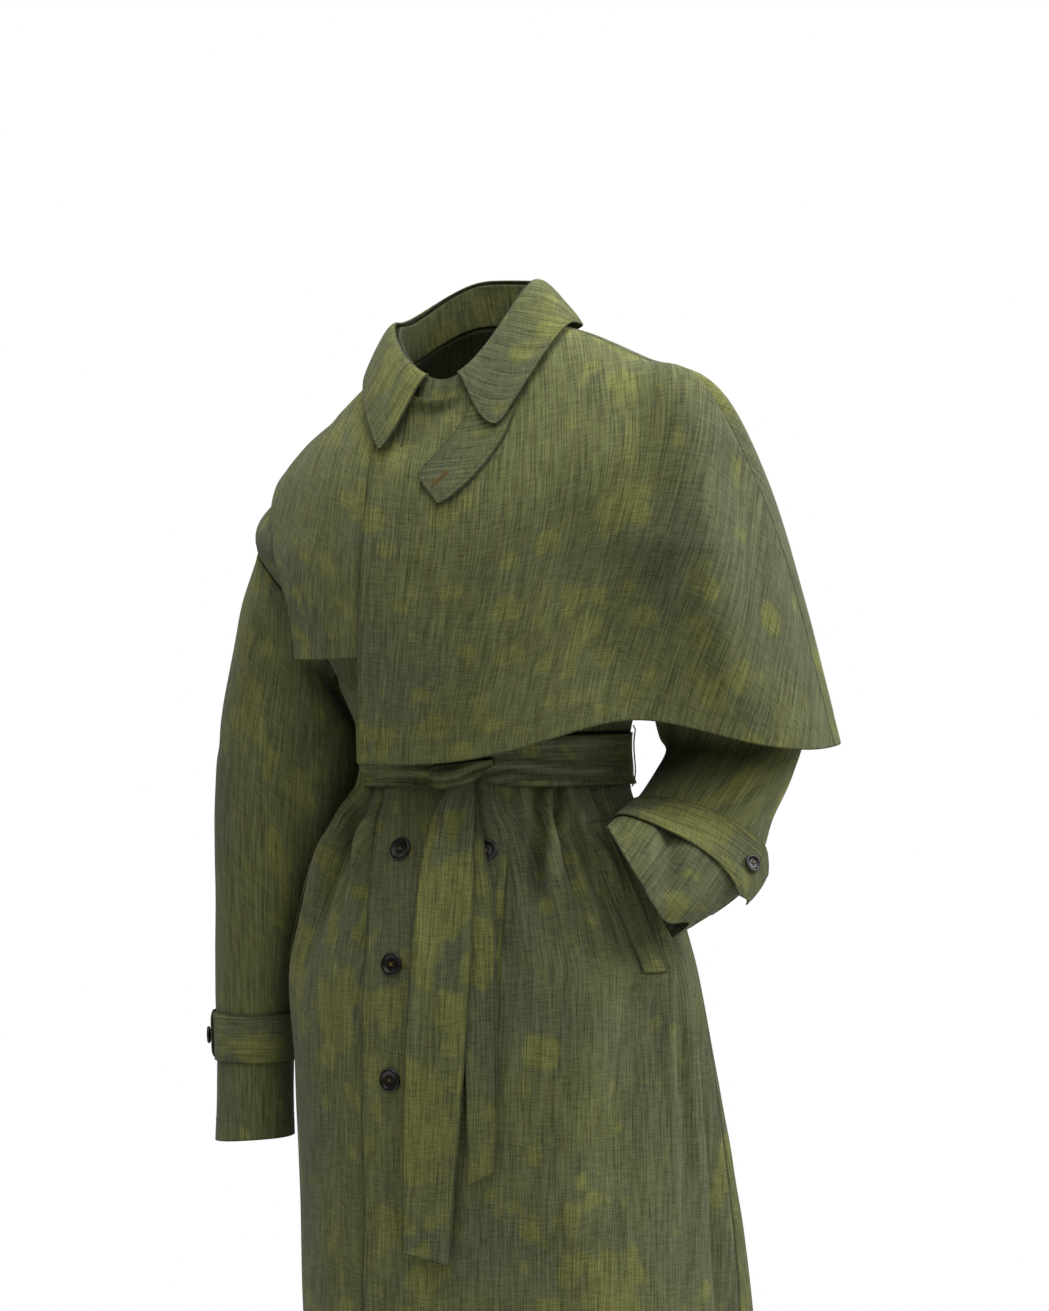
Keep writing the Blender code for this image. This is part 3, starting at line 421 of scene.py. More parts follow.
# The flat cut of each piece: width, length and area in metres, how the cloth is held, and how far its
# thread and dye are shifted, in millimetres
Cut = namedtuple("Cut", "width length area held shift")
CUTS = {
    "front_left": Cut(0.53, 1.51, 0.555, "hung", 210.0),
    "front_right": Cut(0.44, 1.43, 0.46, "hung", 1370.0),
    "back": Cut(0.69, 1.51, 0.705, "hung", 2910.0),
    "sleeve_left": Cut(0.56, 0.64, 0.205, "hung", 4130.0),
    "sleeve_right": Cut(0.52, 0.70, 0.265, "hung", 5570.0),
    "cape_left": Cut(0.60, 0.64, 0.23, "hung", 6830.0),
    "cape_back": Cut(0.77, 0.64, 0.33, "hung", 8210.0),
    "flap_right": Cut(0.25, 0.45, 0.061, "hung", 9370.0),
    "collar": Cut(0.74, 0.11, 0.05, "folded", 11330.0),
    "collar_stand": Cut(0.65, 0.05, 0.0255, "stretched", 10110.0),
    "throat_tab": Cut(0.056, 0.16, 0.008, "hung", 12770.0),
    "belt": Cut(0.06, 0.89, 0.0515, "stretched", 13810.0),
    "belt_knot": Cut(0.032, 0.085, 0.0024, "folded", 14630.0),
    "belt_tail_long": Cut(0.068, 0.55, 0.0345, "hung", 16006.0),
    "belt_tail_short": Cut(0.044, 0.46, 0.0168, "hung", 15916.0),
    "belt_loop_left": Cut(0.010, 0.072, 0.00056, "stretched", 16310.0),
    "belt_loop_right": Cut(0.010, 0.072, 0.00056, "stretched", 16310.0),
    "pocket_welt_left": Cut(0.034, 0.172, None, "laid", 17210.0),
    "pocket_welt_right": Cut(0.034, 0.172, None, "laid", 17210.0),
    "cuff_strap_left": Cut(0.058, 0.40, 0.023, "laid", 18130.0),
    "cuff_strap_right": Cut(0.058, 0.40, 0.0213, "laid", 18130.0),
}

# Creases on the flat cuts: the line that each follows, its width and height, and how far it leans to one side
Crease = namedtuple("Crease", "line width depth lean")
CREASES = {
    "front_left": (
        Crease(((245, -40), (219, 32), (196, 104), (185, 179)), 13, 8.0, 0.2),
        Crease(((268, -46), (245, 20), (226, 60), (207, 130)), 10, -19.0, 0.0),
        Crease(((281, -44), (262, 10), (247, 52), (238, 92), (230, 165)), 10, 12.0, 0.2),
        Crease(((293, -46), (279, 3), (268, 40), (267, 89), (270, 150)), 9, -20.0, 0.0),
        Crease(((297, -44), (304, 5), (313, 37), (322, 64), (328, 92), (330, 150)), 10, 11.0, 0.0),
        Crease(((341, -24), (345, 0), (350, 24)), 7, -6.0, 0.0),
        Crease(((370, 120), (371, 168), (365, 223), (365, 297), (369, 375), (374, 520)), 9, 6.0, 0.0),
        Crease(((386, 120), (387, 168), (382, 223), (382, 297), (386, 375), (392, 520)), 11, -7.0, 0.0),
        Crease(((403, 168), (393, 234), (400, 303), (404, 367), (417, 459), (428, 574)), 20, 5.0, -0.2),
        Crease(((176, 40), (174, 119), (172, 197), (172, 320)), 18, -7.0, 0.3),
        Crease(((279, 165), (265, 284), (243, 424), (213, 538)), 36, 11.0, 0.2),
        Crease(((322, 197), (306, 315), (276, 445)), 34, -11.0, 0.0),
        Crease(((17, 0), (22, 62), (23, 173)), 14, -1.5, 0.0),
    ),
    "front_right": (
        Crease(((-112, -40), (-104, 38), (-52, 91), (-39, 189)), 12, -13.0, 0.0),
        Crease(((-92, -30), (-51, 48), (-40, 91), (-26, 167), (-18, 239)), 13, 8.0, 0.2),
        Crease(((-138, -60), (-133, 11), (-126, 44), (-122, 100), (-104, 190)), 17, 14.0, 0.0),
        Crease(((-39, 238), (-44, 348), (-56, 463)), 26, -3.5, 0.2),
    ),
    "back": (
        Crease(((-222, -12), (-214, 44), (-226, 128), (-233, 240)), 14, -4.5, 0.0),
        Crease(((-118, -16), (-128, 60), (-122, 176), (-140, 340)), 18, 5.0, 0.3),
        Crease(((-41, -10), (-36, 52), (-52, 150)), 11, -4.0, 0.0),
        Crease(((52, -14), (64, 70), (58, 204), (83, 402)), 20, 5.0, -0.2),
        Crease(((139, -8), (130, 66), (147, 180)), 12, -4.5, 0.0),
        Crease(((231, -12), (240, 90), (226, 260), (244, 480)), 22, 4.5, 0.3),
    ),
    "sleeve_right": (
        Crease(((59, 85), (90, 64), (126, 42)), 15, -4.0, 0.2),
        Crease(((221, 2), (206, 43), (222, 79)), 14, -3.0, 0.0),
        Crease(((114, 116), (107, 192), (104, 270)), 20, 3.5, 0.3),
        Crease(((151, 137), (148, 225), (146, 307)), 18, -3.0, 0.0),
        Crease(((-96, 208), (-40, 236), (18, 228)), 13, -4.0, 0.2),
        Crease(((-150, 300), (-84, 322), (-30, 310)), 15, -3.0, 0.0),
    ),
    "sleeve_left": (
        Crease(((196, 175), (145, 246), (99, 311)), 13, -4.5, 0.2),
        Crease(((173, 205), (115, 286), (62, 348)), 16, 3.5, 0.0),
        Crease(((-190, 182), (-128, 240), (-92, 318)), 15, -4.0, 0.0),
        Crease(((474, 236), (488, 264), (502, 284), (512, 304), (522, 336)), 12, -11.0, 0.0),
        Crease(((466, 276), (477, 291), (492, 308), (506, 328)), 11, 4.0, 0.0),
        Crease(((520, 330), (548, 306), (572, 284)), 13, 3.0, 0.0),
    ),
    "cape_left": (
        Crease(
            ((254, 232), (278, 274), (297, 324), (313, 380), (340, 460), (382, 530), (425, 558)),
            32, 14.0, 0.2,
        ),
        Crease(((215, 263), (246, 342), (262, 396), (268, 440)), 34, -4.0, 0.2),
        Crease(((280, 440), (284, 490), (274, 549), (265, 640)), 36, -12.0, 0.2),
        Crease(((334, 332), (363, 367), (392, 427), (428, 480), (478, 533)), 28, -7.0, -0.2),
        Crease(((120, 330), (130, 440), (112, 560), (96, 680)), 40, 4.0, 0.3),
        Crease(((66, 180), (52, 228), (40, 262), (30, 320)), 22, -9.0, 0.0),
        Crease(((58, 300), (64, 400), (52, 520)), 26, -2.5, 0.0),
    ),
    "cape_back": (
        Crease(((-230, 280), (-262, 420), (-300, 560), (-330, 700)), 34, 7.0, 0.2),
        Crease(((-96, 300), (-112, 450), (-104, 640)), 40, -6.0, 0.0),
        Crease(((62, 270), (84, 420), (102, 600), (96, 740)), 36, 7.0, -0.3),
        Crease(((214, 300), (252, 460), (268, 640)), 38, -6.0, 0.2),
    ),
    "flap_right": (
        Crease(((-60, 60), (-92, 150), (-104, 270), (-96, 400)), 26, 3.0, 0.3),
        Crease(((-160, 70), (-172, 170), (-150, 300)), 22, -2.5, 0.0),
    ),
    "collar": (
        Crease(((60, 880), (120, 930), (170, 990)), 20, 1.6, 0.0),
        Crease(((470, 890), (428, 940), (400, 1000)), 20, 1.6, 0.0),
    ),
    "belt": (
        Crease(((25, -10), (31, 70), (36, 108), (38, 154), (43, 215)), 5, 3.2, 0.3),
        Crease(((33, -10), (39, 70), (44, 108), (46, 154), (51, 215)), 4, -2.0, 0.0),
        Crease(((41, -10), (47, 70), (52, 108), (54, 154)), 4, 2.6, 0.0),
        Crease(((12, 60), (8, 115), (7, 182), (12, 260)), 6, 2.2, 0.2),
        Crease(((34, 680), (38, 782), (31, 866)), 5, 4.5, 0.3),
        Crease(((56, -60), (57, 100), (57, 300), (57, 700), (57, 960)), 6, 4.5, 0.0),
        Crease(((43, 680), (47, 782), (40, 866)), 4, -1.8, 0.0),
        Crease(((12, 670), (16, 772), (14, 880)), 5, 2.8, 0.0),
        Crease(((20, 670), (25, 772), (23, 880)), 4, -1.6, 0.0),
        Crease(((26, 320), (34, 420), (28, 540)), 6, 2.4, 0.2),
    ),
    "belt_knot": (
        Crease(((-7, -10), (-4, 30), (-7, 56), (-4, 95)), 5, 3.0, 0.3),
        Crease(((1, -10), (3, 34), (1, 60), (3, 95)), 4, -2.4, 0.0),
        Crease(((8, -10), (10, 34), (7, 60), (7, 95)), 4, 2.0, 0.0),
    ),
    "belt_tail_long": (
        Crease(((-10, 10), (-12, 56), (-15, 97), (-12, 150)), 6, 2.0, 0.2),
        Crease(((-2, 14), (3, 72), (3, 130), (7, 212)), 6, -2.0, 0.0),
        Crease(((-14, 240), (-9, 320), (-15, 420)), 9, -1.4, 0.2),
        Crease(((-33, -60), (-32, 120), (-33, 300), (-34, 460), (-34, 700)), 12, 7.0, 0.0),
    ),
    "belt_tail_short": (
        Crease(((11, 60), (13, 129), (12, 207)), 6, -1.5, 0.0),
        Crease(((-6, 40), (-3, 110), (-7, 220)), 7, 1.4, 0.2),
        Crease(((20, -40), (21, 120), (21, 300), (21, 600)), 9, 5.0, 0.0),
    ),
}

# A crease's line is drawn with so many points for each stop. The crease reaches so many widths to the
# sides, and is full between these shares of its length.
CREASE_POINTS, CREASE_REACH = 12, 3.0
CREASE_FULL_FROM, CREASE_FADES_FROM = 0.22, 0.7

# Seams and edges: the grid's edge that each follows, how far in, how deep and wide its groove is, or
# its ridge where the depth is negative, and whether stitches show
Seam = namedtuple("Seam", "edge inset depth width stitched")
COAT_HEM = Seam("bottom", 26.0, 0.5, 1.6, True)
CAPE_HEM = Seam("bottom", 25.0, 0.4, 1.5, True)
FLAP_HEM = CAPE_HEM._replace(inset=22.0)
CUFF_HEM = Seam("bottom", 24.0, 0.35, 1.4, True)
ARMHOLE_SEAM = Seam("top", 0.0, 0.7, 1.8, False)
LEFT_SIDE, RIGHT_SIDE = (Seam(edge, 0.0, 0.7, 1.6, False) for edge in ("left", "right"))
LEFT_ARM_LINE, RIGHT_ARM_LINE = (Seam(edge, 0.0, 0.8, 1.8, False) for edge in ("left", "right"))
RAISED_EDGE = Seam("left", 0.0, -2.0, 7.0, False)
EDGE_GROOVE = Seam("left", 3.0, 2.2, 1.5, False)

# Depth and width of the grooves under the topstitching
COLLAR_GROOVE, TAB_GROOVE = (0.45, 1.0), (0.4, 0.9)
WELT_GROOVE, STRAP_GROOVE = (0.3, 0.9), (0.35, 0.9)

# A stitch's rings: how far along it and how high each lies, as shares of the stitch's length and the
# thread's thickness, and the ring's own share of that thickness
STITCH_RINGS = ((-0.5, -0.35, 0.15), (-0.3, 0.3, 0.8), (0.0, 0.5, 1.0), (0.3, 0.3, 0.8), (0.5, -0.35, 0.15))
STITCH_SIDES = 5

# The cloth's soft unevenness: each wave's height and its lengths across and down. Where a seam holds
# the cloth, it lies flat and becomes uneven within a distance.
SoftWave = namedtuple("SoftWave", "height across down")
SOFT_WAVES = (SoftWave(1.1, 74.0, 96.0), SoftWave(0.45, 27.0, 41.0))
FIRST_SEED = 7
HELD_WITHIN = 14.0

# How a piece is sewn: its wall, the side of the grid that is outward, whether it is closed to a tube,
# its seams, the edges that hold it flat, and its share of the unevenness
Look = namedtuple("Look", "wall outward closed seams hold ruffle", defaults=(None, 1, False, (), (), 1.0))

# The cloth's finish: each noise by its lengths across and along the warp in metres. The dye feathers by
# so much across and along the warp, also in metres, and is a little drawn out along it.
Streak = namedtuple("Streak", "name across along detail")
DYE_FEATHER, DYE_DRAWN_OUT, DYE_CLUSTERING = (0.004, 0.014, 0.0), 0.85, 2.6
WEAVE_SHARES = {"weft": 1.5, "warp": 2.6, "slub": 0.1}

# A spun thread's plies: how far apart they lie, and the share of the light that is left between them
PLY_SPACING, PLY_SHADE = 0.4, 0.6

# Horn's layers to the metre: about 3 mm apart, and drawn out along the button
HORN_LAYERS_PER_METRE = (330.0, 90.0, 200.0)

# The stage, in metres: the camera looks from the photograph's side, from an assumed distance, at a scale
# of 1.13 mm for each of the photograph's 1311 rows
CAMERA_ACROSS, CAMERA_HEIGHT, CAMERA_AWAY = 0.0706, -0.3057, 4.5
PHOTO_HEIGHT = 1311 * 0.00113
SENSOR_WIDTH = 36.0
FLOOR_HEIGHT, FLOOR_RADIUS, FLOOR_SIDES = -1.52, 2.4, 96
AMBIENT = 0.03
LIGHT_AIM = (0.05, 0.0, -0.45)
AreaLight = namedtuple("AreaLight", "name across away height size power")
LIGHTS = (
    AreaLight("side_softbox", 3.2, 0.4, 1.6, 2.2, 116.0),
    AreaLight("top_softbox", 0.0, 0.4, 3.2, 2.4, 133.0),
    AreaLight("front_left_softbox", -1.9, 2.6, 2.1, 2.4, 31.0),
    AreaLight("front_right_softbox", 1.6, 3.4, 1.4, 2.6, 22.0),
    AreaLight("back_softbox", -2.4, -1.2, 2.0, 2.0, 14.0),
)


def table(rows):
    """A table's rows as an array of numbers."""
    return np.array([[np.array(cell, float) for cell in row] for row in rows])


def unit(vectors):
    """The vectors along the last axis, each made one long; one of no length is left as it is."""
    return vectors / np.maximum(np.linalg.norm(vectors, axis=-1, keepdims=True), 1e-9)


def through(a, b, c, d, t):
    """A smooth curve through four values, t of the way from the second to the third."""
    return b + 0.5 * t * (c - a + t * (2 * a - 5 * b + 4 * c - d + t * (3 * (b - c) + d - a)))


def between_rows(rows, at):
    """Values on a smooth curve through the rows, at fractional row numbers."""
    last = len(rows) - 1
    at = np.clip(at, 0.0, last)
    first = np.minimum(at.astype(int), last - 1)
    near = [rows[np.clip(first + k, 0, last)] for k in (-1, 0, 1, 2)]
    return through(*near, (at - first).reshape(at.shape + (1,) * (rows.ndim - 1)))


def ring_points(rings, angle, row):
    """Points on the loft through the rings, at angles in degrees and fractional row numbers."""
    ring = between_rows(rings, row)
    c, s = np.cos(np.radians(angle)), np.sin(np.radians(angle))
    side = np.where((c >= 0)[..., None], ring[..., LEFT, :], ring[..., RIGHT, :])
    end = np.where((s >= 0)[..., None], ring[..., BACK, :], ring[..., FRONT, :])
    x = end[..., 0] + (side[..., 0] - end[..., 0]) * np.abs(c)
    y = side[..., 1] + (end[..., 1] - side[..., 1]) * np.abs(s)
    z = side[..., 2] + (end[..., 2] - side[..., 2]) * s * s
    return np.stack([x, y, z], axis=-1)


def ease(low, high, value):
    """0 at low, 1 at high and smooth between them, for low above or below high."""
    t = np.clip((value - low) / (high - low), 0.0, 1.0)
    return t * t * (3 - 2 * t)


def turn_between(angle, middle):
    """The signed turn in degrees from the middle angle, between -180 and 180."""
    return (angle - middle + 180.0) % 360.0 - 180.0


def pushed_out(points, angle, out, rise=0.0):
    """The points moved level outward at their angles, and up by a share of that."""
    radians = np.radians(angle)
    return points + np.stack([out * np.cos(radians), out * np.sin(radians), out * rise], axis=-1)


def folded(points, angle, folds):
    """The points moved outward by each fold's soft ridge or trough."""
    height = points[..., 2]
    out = np.zeros_like(height)
    for fold in folds:
        middle = fold.angle + fold.drift * ease(fold.top, fold.bottom, height)
        ridge = np.exp(-((turn_between(angle, middle) / fold.width) ** 2))
        strength = ease(fold.top, fold.full, height) * ease(fold.bottom, fold.fade, height)
        out = out + fold.depth * ridge * strength
    return pushed_out(points, angle, out)


def body(angle, row):
    """The coat's outer surface."""
    return folded(ring_points(BODY_TABLE, angle, row), angle, SKIRT_FOLDS)


def cape(angle, row):
    """The cape's outer surface, with its hem lifted in front and behind."""
    points = folded(ring_points(CAPE_TABLE, angle, row), angle, CAPE_FOLDS)
    near_hem = (row / CAPE_LAST_ROW) ** 3
    for lift in CAPE_HEM_LIFTS:
        rise = lift.rise * np.exp(-((turn_between(angle, lift.angle) / lift.width) ** 2) / 2)
        points[..., 2] += rise * near_hem
    return points


def moved_out(surface, a, b, distance, steps=SURFACE_STEPS):
    """A two-way surface's points moved along its normals, and the normals: outward on the body and cape."""
    da, db = steps
    along = surface(a + da, b) - surface(a - da, b)
    down = surface(a, b + db) - surface(a, b - db)
    normal = unit(np.cross(down, along))
    return surface(a, b) + normal * np.asarray(distance)[..., None], normal


def edge_angle(rings, row, edge_x):
    """The angle at which a ring's front crosses the given distance across the body."""
    ring = between_rows(rings, row)
    middle = ring[..., FRONT, 0]
    side = np.where(edge_x < middle, ring[..., RIGHT, 0], ring[..., LEFT, 0])
    share = np.clip((edge_x - middle) / (side - middle), 0.0, FRONT_EDGE_SHARE)
    swing = np.degrees(np.arcsin(share))
    return np.where(edge_x < middle, 270.0 - swing, 270.0 + swing)


def find_spot(surface, across, height, angle, row):
    """The angle and row of the surface's point at the given distance across and height."""
    angle, row = np.full_like(across, angle), np.full_like(across, row)
    da, db = SURFACE_STEPS
    most_a, most_b = SEARCH_LIMITS
    for _ in range(SEARCH_ROUNDS):
        here = surface(angle, row)
        by_angle = (surface(angle + da, row) - here) / da
        by_row = (surface(angle, row + db) - here) / db
        miss_x, miss_z = across - here[..., 0], height - here[..., 2]
        det = by_angle[..., 0] * by_row[..., 2] - by_row[..., 0] * by_angle[..., 2]
        step_a = (miss_x * by_row[..., 2] - by_row[..., 0] * miss_z) / det
        step_b = (by_angle[..., 0] * miss_z - miss_x * by_angle[..., 2]) / det
        angle = angle + np.clip(step_a, -most_a, most_a)
        row = np.clip(row + np.clip(step_b, -most_b, most_b), 0.0, None)
    return angle, row


def flap_edge(row):
    """The angle of the flap's free edge, which leaves the shoulder's line below a row."""
    first, last = FLAP_SWING_ROWS
    share = np.clip((row - first) / (last - first), 0.0, 1.0)
    return RIGHT_SHOULDER + FLAP_SWING * np.sin(share * math.pi / 2)


def belt_height(angle):
    """The height of the belt's middle, which lies a little lower on the coat's right."""
    return BELT_HEIGHT + BELT_TILT * np.cos(np.radians(angle))


def body_row_at(height):
    """The body's row number at a height below the armholes, where the rings are level."""
    rows = np.linspace(FIRST_LEVEL_ROW, len(BODY_RINGS) - 1, HEIGHT_SAMPLES)
    heights = between_rows(BODY_TABLE, rows)[:, FRONT, 2]
    return np.interp(-height, -heights, rows)


BODY_TABLE = table(BODY_RINGS)
CAPE_TABLE = table(CAPE_RINGS)
STAND_TABLE = table((STAND_FOOT, COLLAR_FOLD))
COLLAR_TABLE = table((COLLAR_FOLD, COLLAR_EDGE))


def armhole_row(turn):
    """The body's row on the armhole's loop: turn is 0 at its top and 180 at its foot."""
    return ARMHOLE_MIDDLE_ROW - (ARMHOLE_FOOT_ROW - ARMHOLE_TOP_ROW) / 2 * np.cos(np.radians(turn))


def armhole_half_angle(row):
    """How far the panel's side edge stands back from the shoulder's line, in degrees."""
    share = (row - ARMHOLE_MIDDLE_ROW) / ((ARMHOLE_FOOT_ROW - ARMHOLE_TOP_ROW) / 2)
    return ARMHOLE_HALF_ANGLE * np.sqrt(np.clip(1 - share**2, 0.0, 1.0))


def sleeve_surface(side):
    """The sleeve as a surface: angle round it, 0 outside and 90 in front, and row, 0 on the armhole."""
    rows = SLEEVES[side]
    up = np.array([0.0, 0.0, 1.0])
    inner = [r.in_across * VIEW_ACROSS + r.behind * VIEW_AWAY + r.in_height * up for r in rows]
    outer = [r.out_across * VIEW_ACROSS + r.behind * VIEW_AWAY + r.out_height * up for r in rows]
    inset = 1.0 - ARMHOLE_INSET / ARMHOLE_RADIUS
    shoulder = LEFT_SHOULDER if side == "left" else RIGHT_SHOULDER

    def surface(angle, row):
        c, s = np.cos(np.radians(angle)), np.sin(np.radians(angle))
        loop_row = ARMHOLE_MIDDLE_ROW - inset * (ARMHOLE_MIDDLE_ROW - armhole_row(angle))
        swing = inset * ARMHOLE_HALF_ANGLE * s * SLEEVE_SENSE[side]
        rings = [moved_out(body, shoulder + swing, loop_row, ARMHOLE_INSET)[0]]
        for start, stop, size in zip(inner, outer, rows):
            middle, half = (start + stop) / 2, (stop - start) / 2
            depth = -VIEW_AWAY * size.half_depth
            rings.append(middle + half * c[..., None] + depth * s[..., None])
        stack, last = np.stack(rings), len(rings) - 1
        row = np.clip(row, 0.0, last)
        first = np.minimum(row.astype(int), last - 1)
        picked = np.indices(row.shape)
        near = [stack[(np.clip(first + k, 0, last), *picked)] for k in (-1, 0, 1, 2)]
        return through(*near, (row - first)[..., None])

    return surface


# Grids and flat cuts

def grid_steps(size, step, fine_start=False, fine_end=False):
    """Shares from 0 to 1 along a length in millimetres, closer together at the ends that are sewn."""
    first = EDGE_STEPS if fine_start else (0.0,)
    last = EDGE_STEPS if fine_end else (0.0,)
    count = max(2, round((size - first[-1] - last[-1]) / step))
    inner = np.linspace(first[-1], size - last[-1], count + 1)
    places = np.concatenate([first[:-1], inner, size - np.array(last[-2::-1])])
    return places / size


def shares(size):
    """Shares across and down a piece, as grids of u and v with a row for each step down."""
    across = grid_steps(size.width, size.across, "left" in size.fine, "right" in size.fine)
    down = grid_steps(size.length, size.down, "top" in size.fine, "bottom" in size.fine)
    return np.meshgrid(across, down)


def round_corner(u, v, corner, radius, width, length):
    """Shares moved so that one corner of the grid, given as its u and v, turns on a radius."""
    a = 1.0 - np.clip(np.abs(u - corner[0]) * width / radius, 0.0, 1.0)
    b = 1.0 - np.clip(np.abs(v - corner[1]) * length / radius, 0.0, 1.0)
    near = (a > 0) & (b > 0)
    round_a = 1.0 - a * np.sqrt(1.0 - b * b / 2)
    round_b = 1.0 - b * np.sqrt(1.0 - a * a / 2)
    towards = [1 - 2 * side for side in corner]
    new_u = corner[0] + towards[0] * round_a * radius / width
    new_v = corner[1] + towards[1] * round_b * radius / length
    return np.where(near, new_u, u), np.where(near, new_v, v)


def run_lengths(points, axis):
    """The length along the grid's lines from its first row or column to each point."""
    steps = np.linalg.norm(np.diff(points, axis=axis), axis=-1)
    return np.insert(np.cumsum(steps, axis=axis), 0, 0.0, axis=axis)


def straight_cut(points, grain=0.0):
    """The flat cut of a panel whose warp runs down it, straight at the grain's share across."""
    across = run_lengths(points, 1)
    at = round(grain * (points.shape[1] - 1))
    return np.stack([across - across[:, at : at + 1], run_lengths(points, 0)], axis=-1)


def gathered_cut(points, waist, hip, grain):
    """The flat cut of a panel that the belt gathers: level at the waist row, full from the hip row up."""
    across, down = run_lengths(points, 1), run_lengths(points, 0)
    across[:hip] *= np.maximum(1.0, across[hip, -1] / np.maximum(across[:hip, -1:], 1.0))
    at = round(grain * (points.shape[1] - 1))
    return np.stack([across - across[:, at : at + 1], down - down[waist]], axis=-1)


def long_cut(points):
    """The flat cut of a strip whose warp runs across the grid."""
    return np.stack([run_lengths(points, 0), run_lengths(points, 1)], axis=-1)


def round_cut(points, radius, first_turn, last_turn):
    """The flat cut of a panel cut as part of a ring, its warp straight where the turn is 0."""
    down = run_lengths(points, 0).mean(axis=1)[:, None]
    across = run_lengths(points, 1)
    share = across / across[:, -1:]
    turn = np.radians(first_turn + (last_turn - first_turn) * share)
    return np.stack([(radius + down) * np.sin(turn), (radius + down) * np.cos(turn)], axis=-1)


def turned(flat, degrees):
    """A flat cut with its warp turned, for a piece that is cut at a slant."""
    c, s = math.cos(math.radians(degrees)), math.sin(math.radians(degrees))
    return np.stack([flat[..., 0] * c - flat[..., 1] * s, flat[..., 0] * s + flat[..., 1] * c], axis=-1)


def cuff_cut(points):
    """The flat cut of the left cuff, whose warp runs straight down it from under its strap."""
    across = points[..., 0] * VIEW_ACROSS[0] + points[..., 1] * VIEW_ACROSS[1]
    c, s = math.cos(CUFF_SLOPE), math.sin(CUFF_SLOPE)
    return np.stack([c * across - s * points[..., 2], -s * across - c * points[..., 2]], axis=-1)


# Creases, seams and stitches

def soft_noise(x, y, seed):
    """Smooth noise between -1 and 1 on a lattice of one unit, the same at each run."""
    x0, y0 = np.floor(x).astype(np.int64), np.floor(y).astype(np.int64)
    along, down = ease(0.0, 1.0, x - x0), ease(0.0, 1.0, y - y0)

    def corner(i, j):
        # Large odd factors scatter the lattice's numbers, and the low 16 bits of the result are kept
        mixed = (x0 + i) * 374761393 + (y0 + j) * 668265263 + seed * 974711
        mixed = (mixed ^ (mixed >> 13)) * 1274126177
        return ((mixed ^ (mixed >> 16)) & 0xFFFF) / 32767.5 - 1.0

    top = corner(0, 0) * (1 - along) + corner(1, 0) * along
    foot = corner(0, 1) * (1 - along) + corner(1, 1) * along
    return top * (1 - down) + foot * down


def grid_normals(points, closed):
    """Unit normals of a grid, on the side that a row's direction turned from downward gives."""
    down = np.gradient(points, axis=0)
    if closed:
        wrapped = np.concatenate([points[:, -2:-1], points, points[:, 1:2]], axis=1)
        across = wrapped[:, 2:] - wrapped[:, :-2]
    else:
        across = np.gradient(points, axis=1)
    return unit(np.cross(down, across))


def crease_lift(flat, creases):
    """How far the listed creases lift the cloth: soft ridges or troughs along lines on the cut."""
    lift = np.zeros(flat.shape[:2])
    for crease in creases:
        stops = np.array(crease.line, float)
        line = between_rows(stops, np.linspace(0.0, len(stops) - 1.0, CREASE_POINTS * len(stops)))
        run = unit(np.gradient(line, axis=0))
        reach = CREASE_REACH * crease.width
        low, high = line.min(axis=0) - reach, line.max(axis=0) + reach
        near = ((flat > low) & (flat < high)).all(axis=-1)
        if not near.any():
            continue
        apart = flat[near][:, None, :] - line
        nearest = np.argmin((apart**2).sum(axis=-1), axis=1)
        picked = apart[np.arange(len(nearest)), nearest]
        side = run[nearest, 0] * picked[:, 1] - run[nearest, 1] * picked[:, 0]
        past = np.abs((run[nearest] * picked).sum(axis=-1))
        share = nearest / (len(line) - 1.0)
        strength = ease(0.0, CREASE_FULL_FROM, share) * ease(1.0, CREASE_FADES_FROM, share)
        ends = np.exp(-((past / crease.width) ** 2))
        d = side / crease.width
        lift[near] += crease.depth * strength * ends * (1.0 - crease.lean * d) * np.exp(-d * d)
    return lift


def edge_distances(points):
    """How far each point lies from the grid's four edges along the cloth."""
    across, down = run_lengths(points, 1), run_lengths(points, 0)
    return {
        "left": across,
        "right": across[:, -1:] - across,
        "top": down,
        "bottom": down[-1:] - down,
    }


def topstitched(edges, groove):
    """A stitched groove along each of the edges, at the topstitching's distance from it."""
    inset = bpy.context.scene.coat_sizes.edge_inset / MM
    return [Seam(edge, inset, *groove, True) for edge in edges]


def seam_line(values, distance, inset, edge):
    """A grid's values along the line that runs an inset in from an edge."""
    if edge in ("top", "bottom"):
        values, distance = values.transpose(1, 0, 2), distance.T
    line = []
    for row, apart in zip(values, distance):
        order = np.argsort(apart)
        line.append([np.interp(inset, apart[order], row[order, k]) for k in range(3)])
    return np.array(line)


def resampled(line, normals, pitch):
    """Points, normals and directions a pitch apart along a line."""
    run = run_lengths(line, 0)
    places = np.arange(pitch / 2, run[-1], pitch)
    at, up = (
        np.stack([np.interp(places, run, values[:, k]) for k in range(3)], axis=-1)
        for values in (line, normals)
    )
    return at, up, unit(np.gradient(at, axis=0))


def thread_mesh(name, threads):
    """One mesh of round threads: each is a list of rings of points in millimetres, closed at its ends."""
    verts, faces = [], []
    for rings in threads:
        first, sides = len(verts), len(rings[0])
        verts.extend(point * MM for ring in rings for point in ring)
        for start in range(first, len(verts) - sides, sides):
            for k in range(sides):
                a, b = start + k, start + (k + 1) % sides
                faces.append((a, b, b + sides, a + sides))
        faces.append(tuple(range(first + sides - 1, first - 1, -1)))
        faces.append(tuple(range(len(verts) - sides, len(verts))))
    mesh = bpy.data.meshes.new(name)
    mesh.from_pydata(verts, [], faces)
    mesh.shade_smooth()
    return mesh


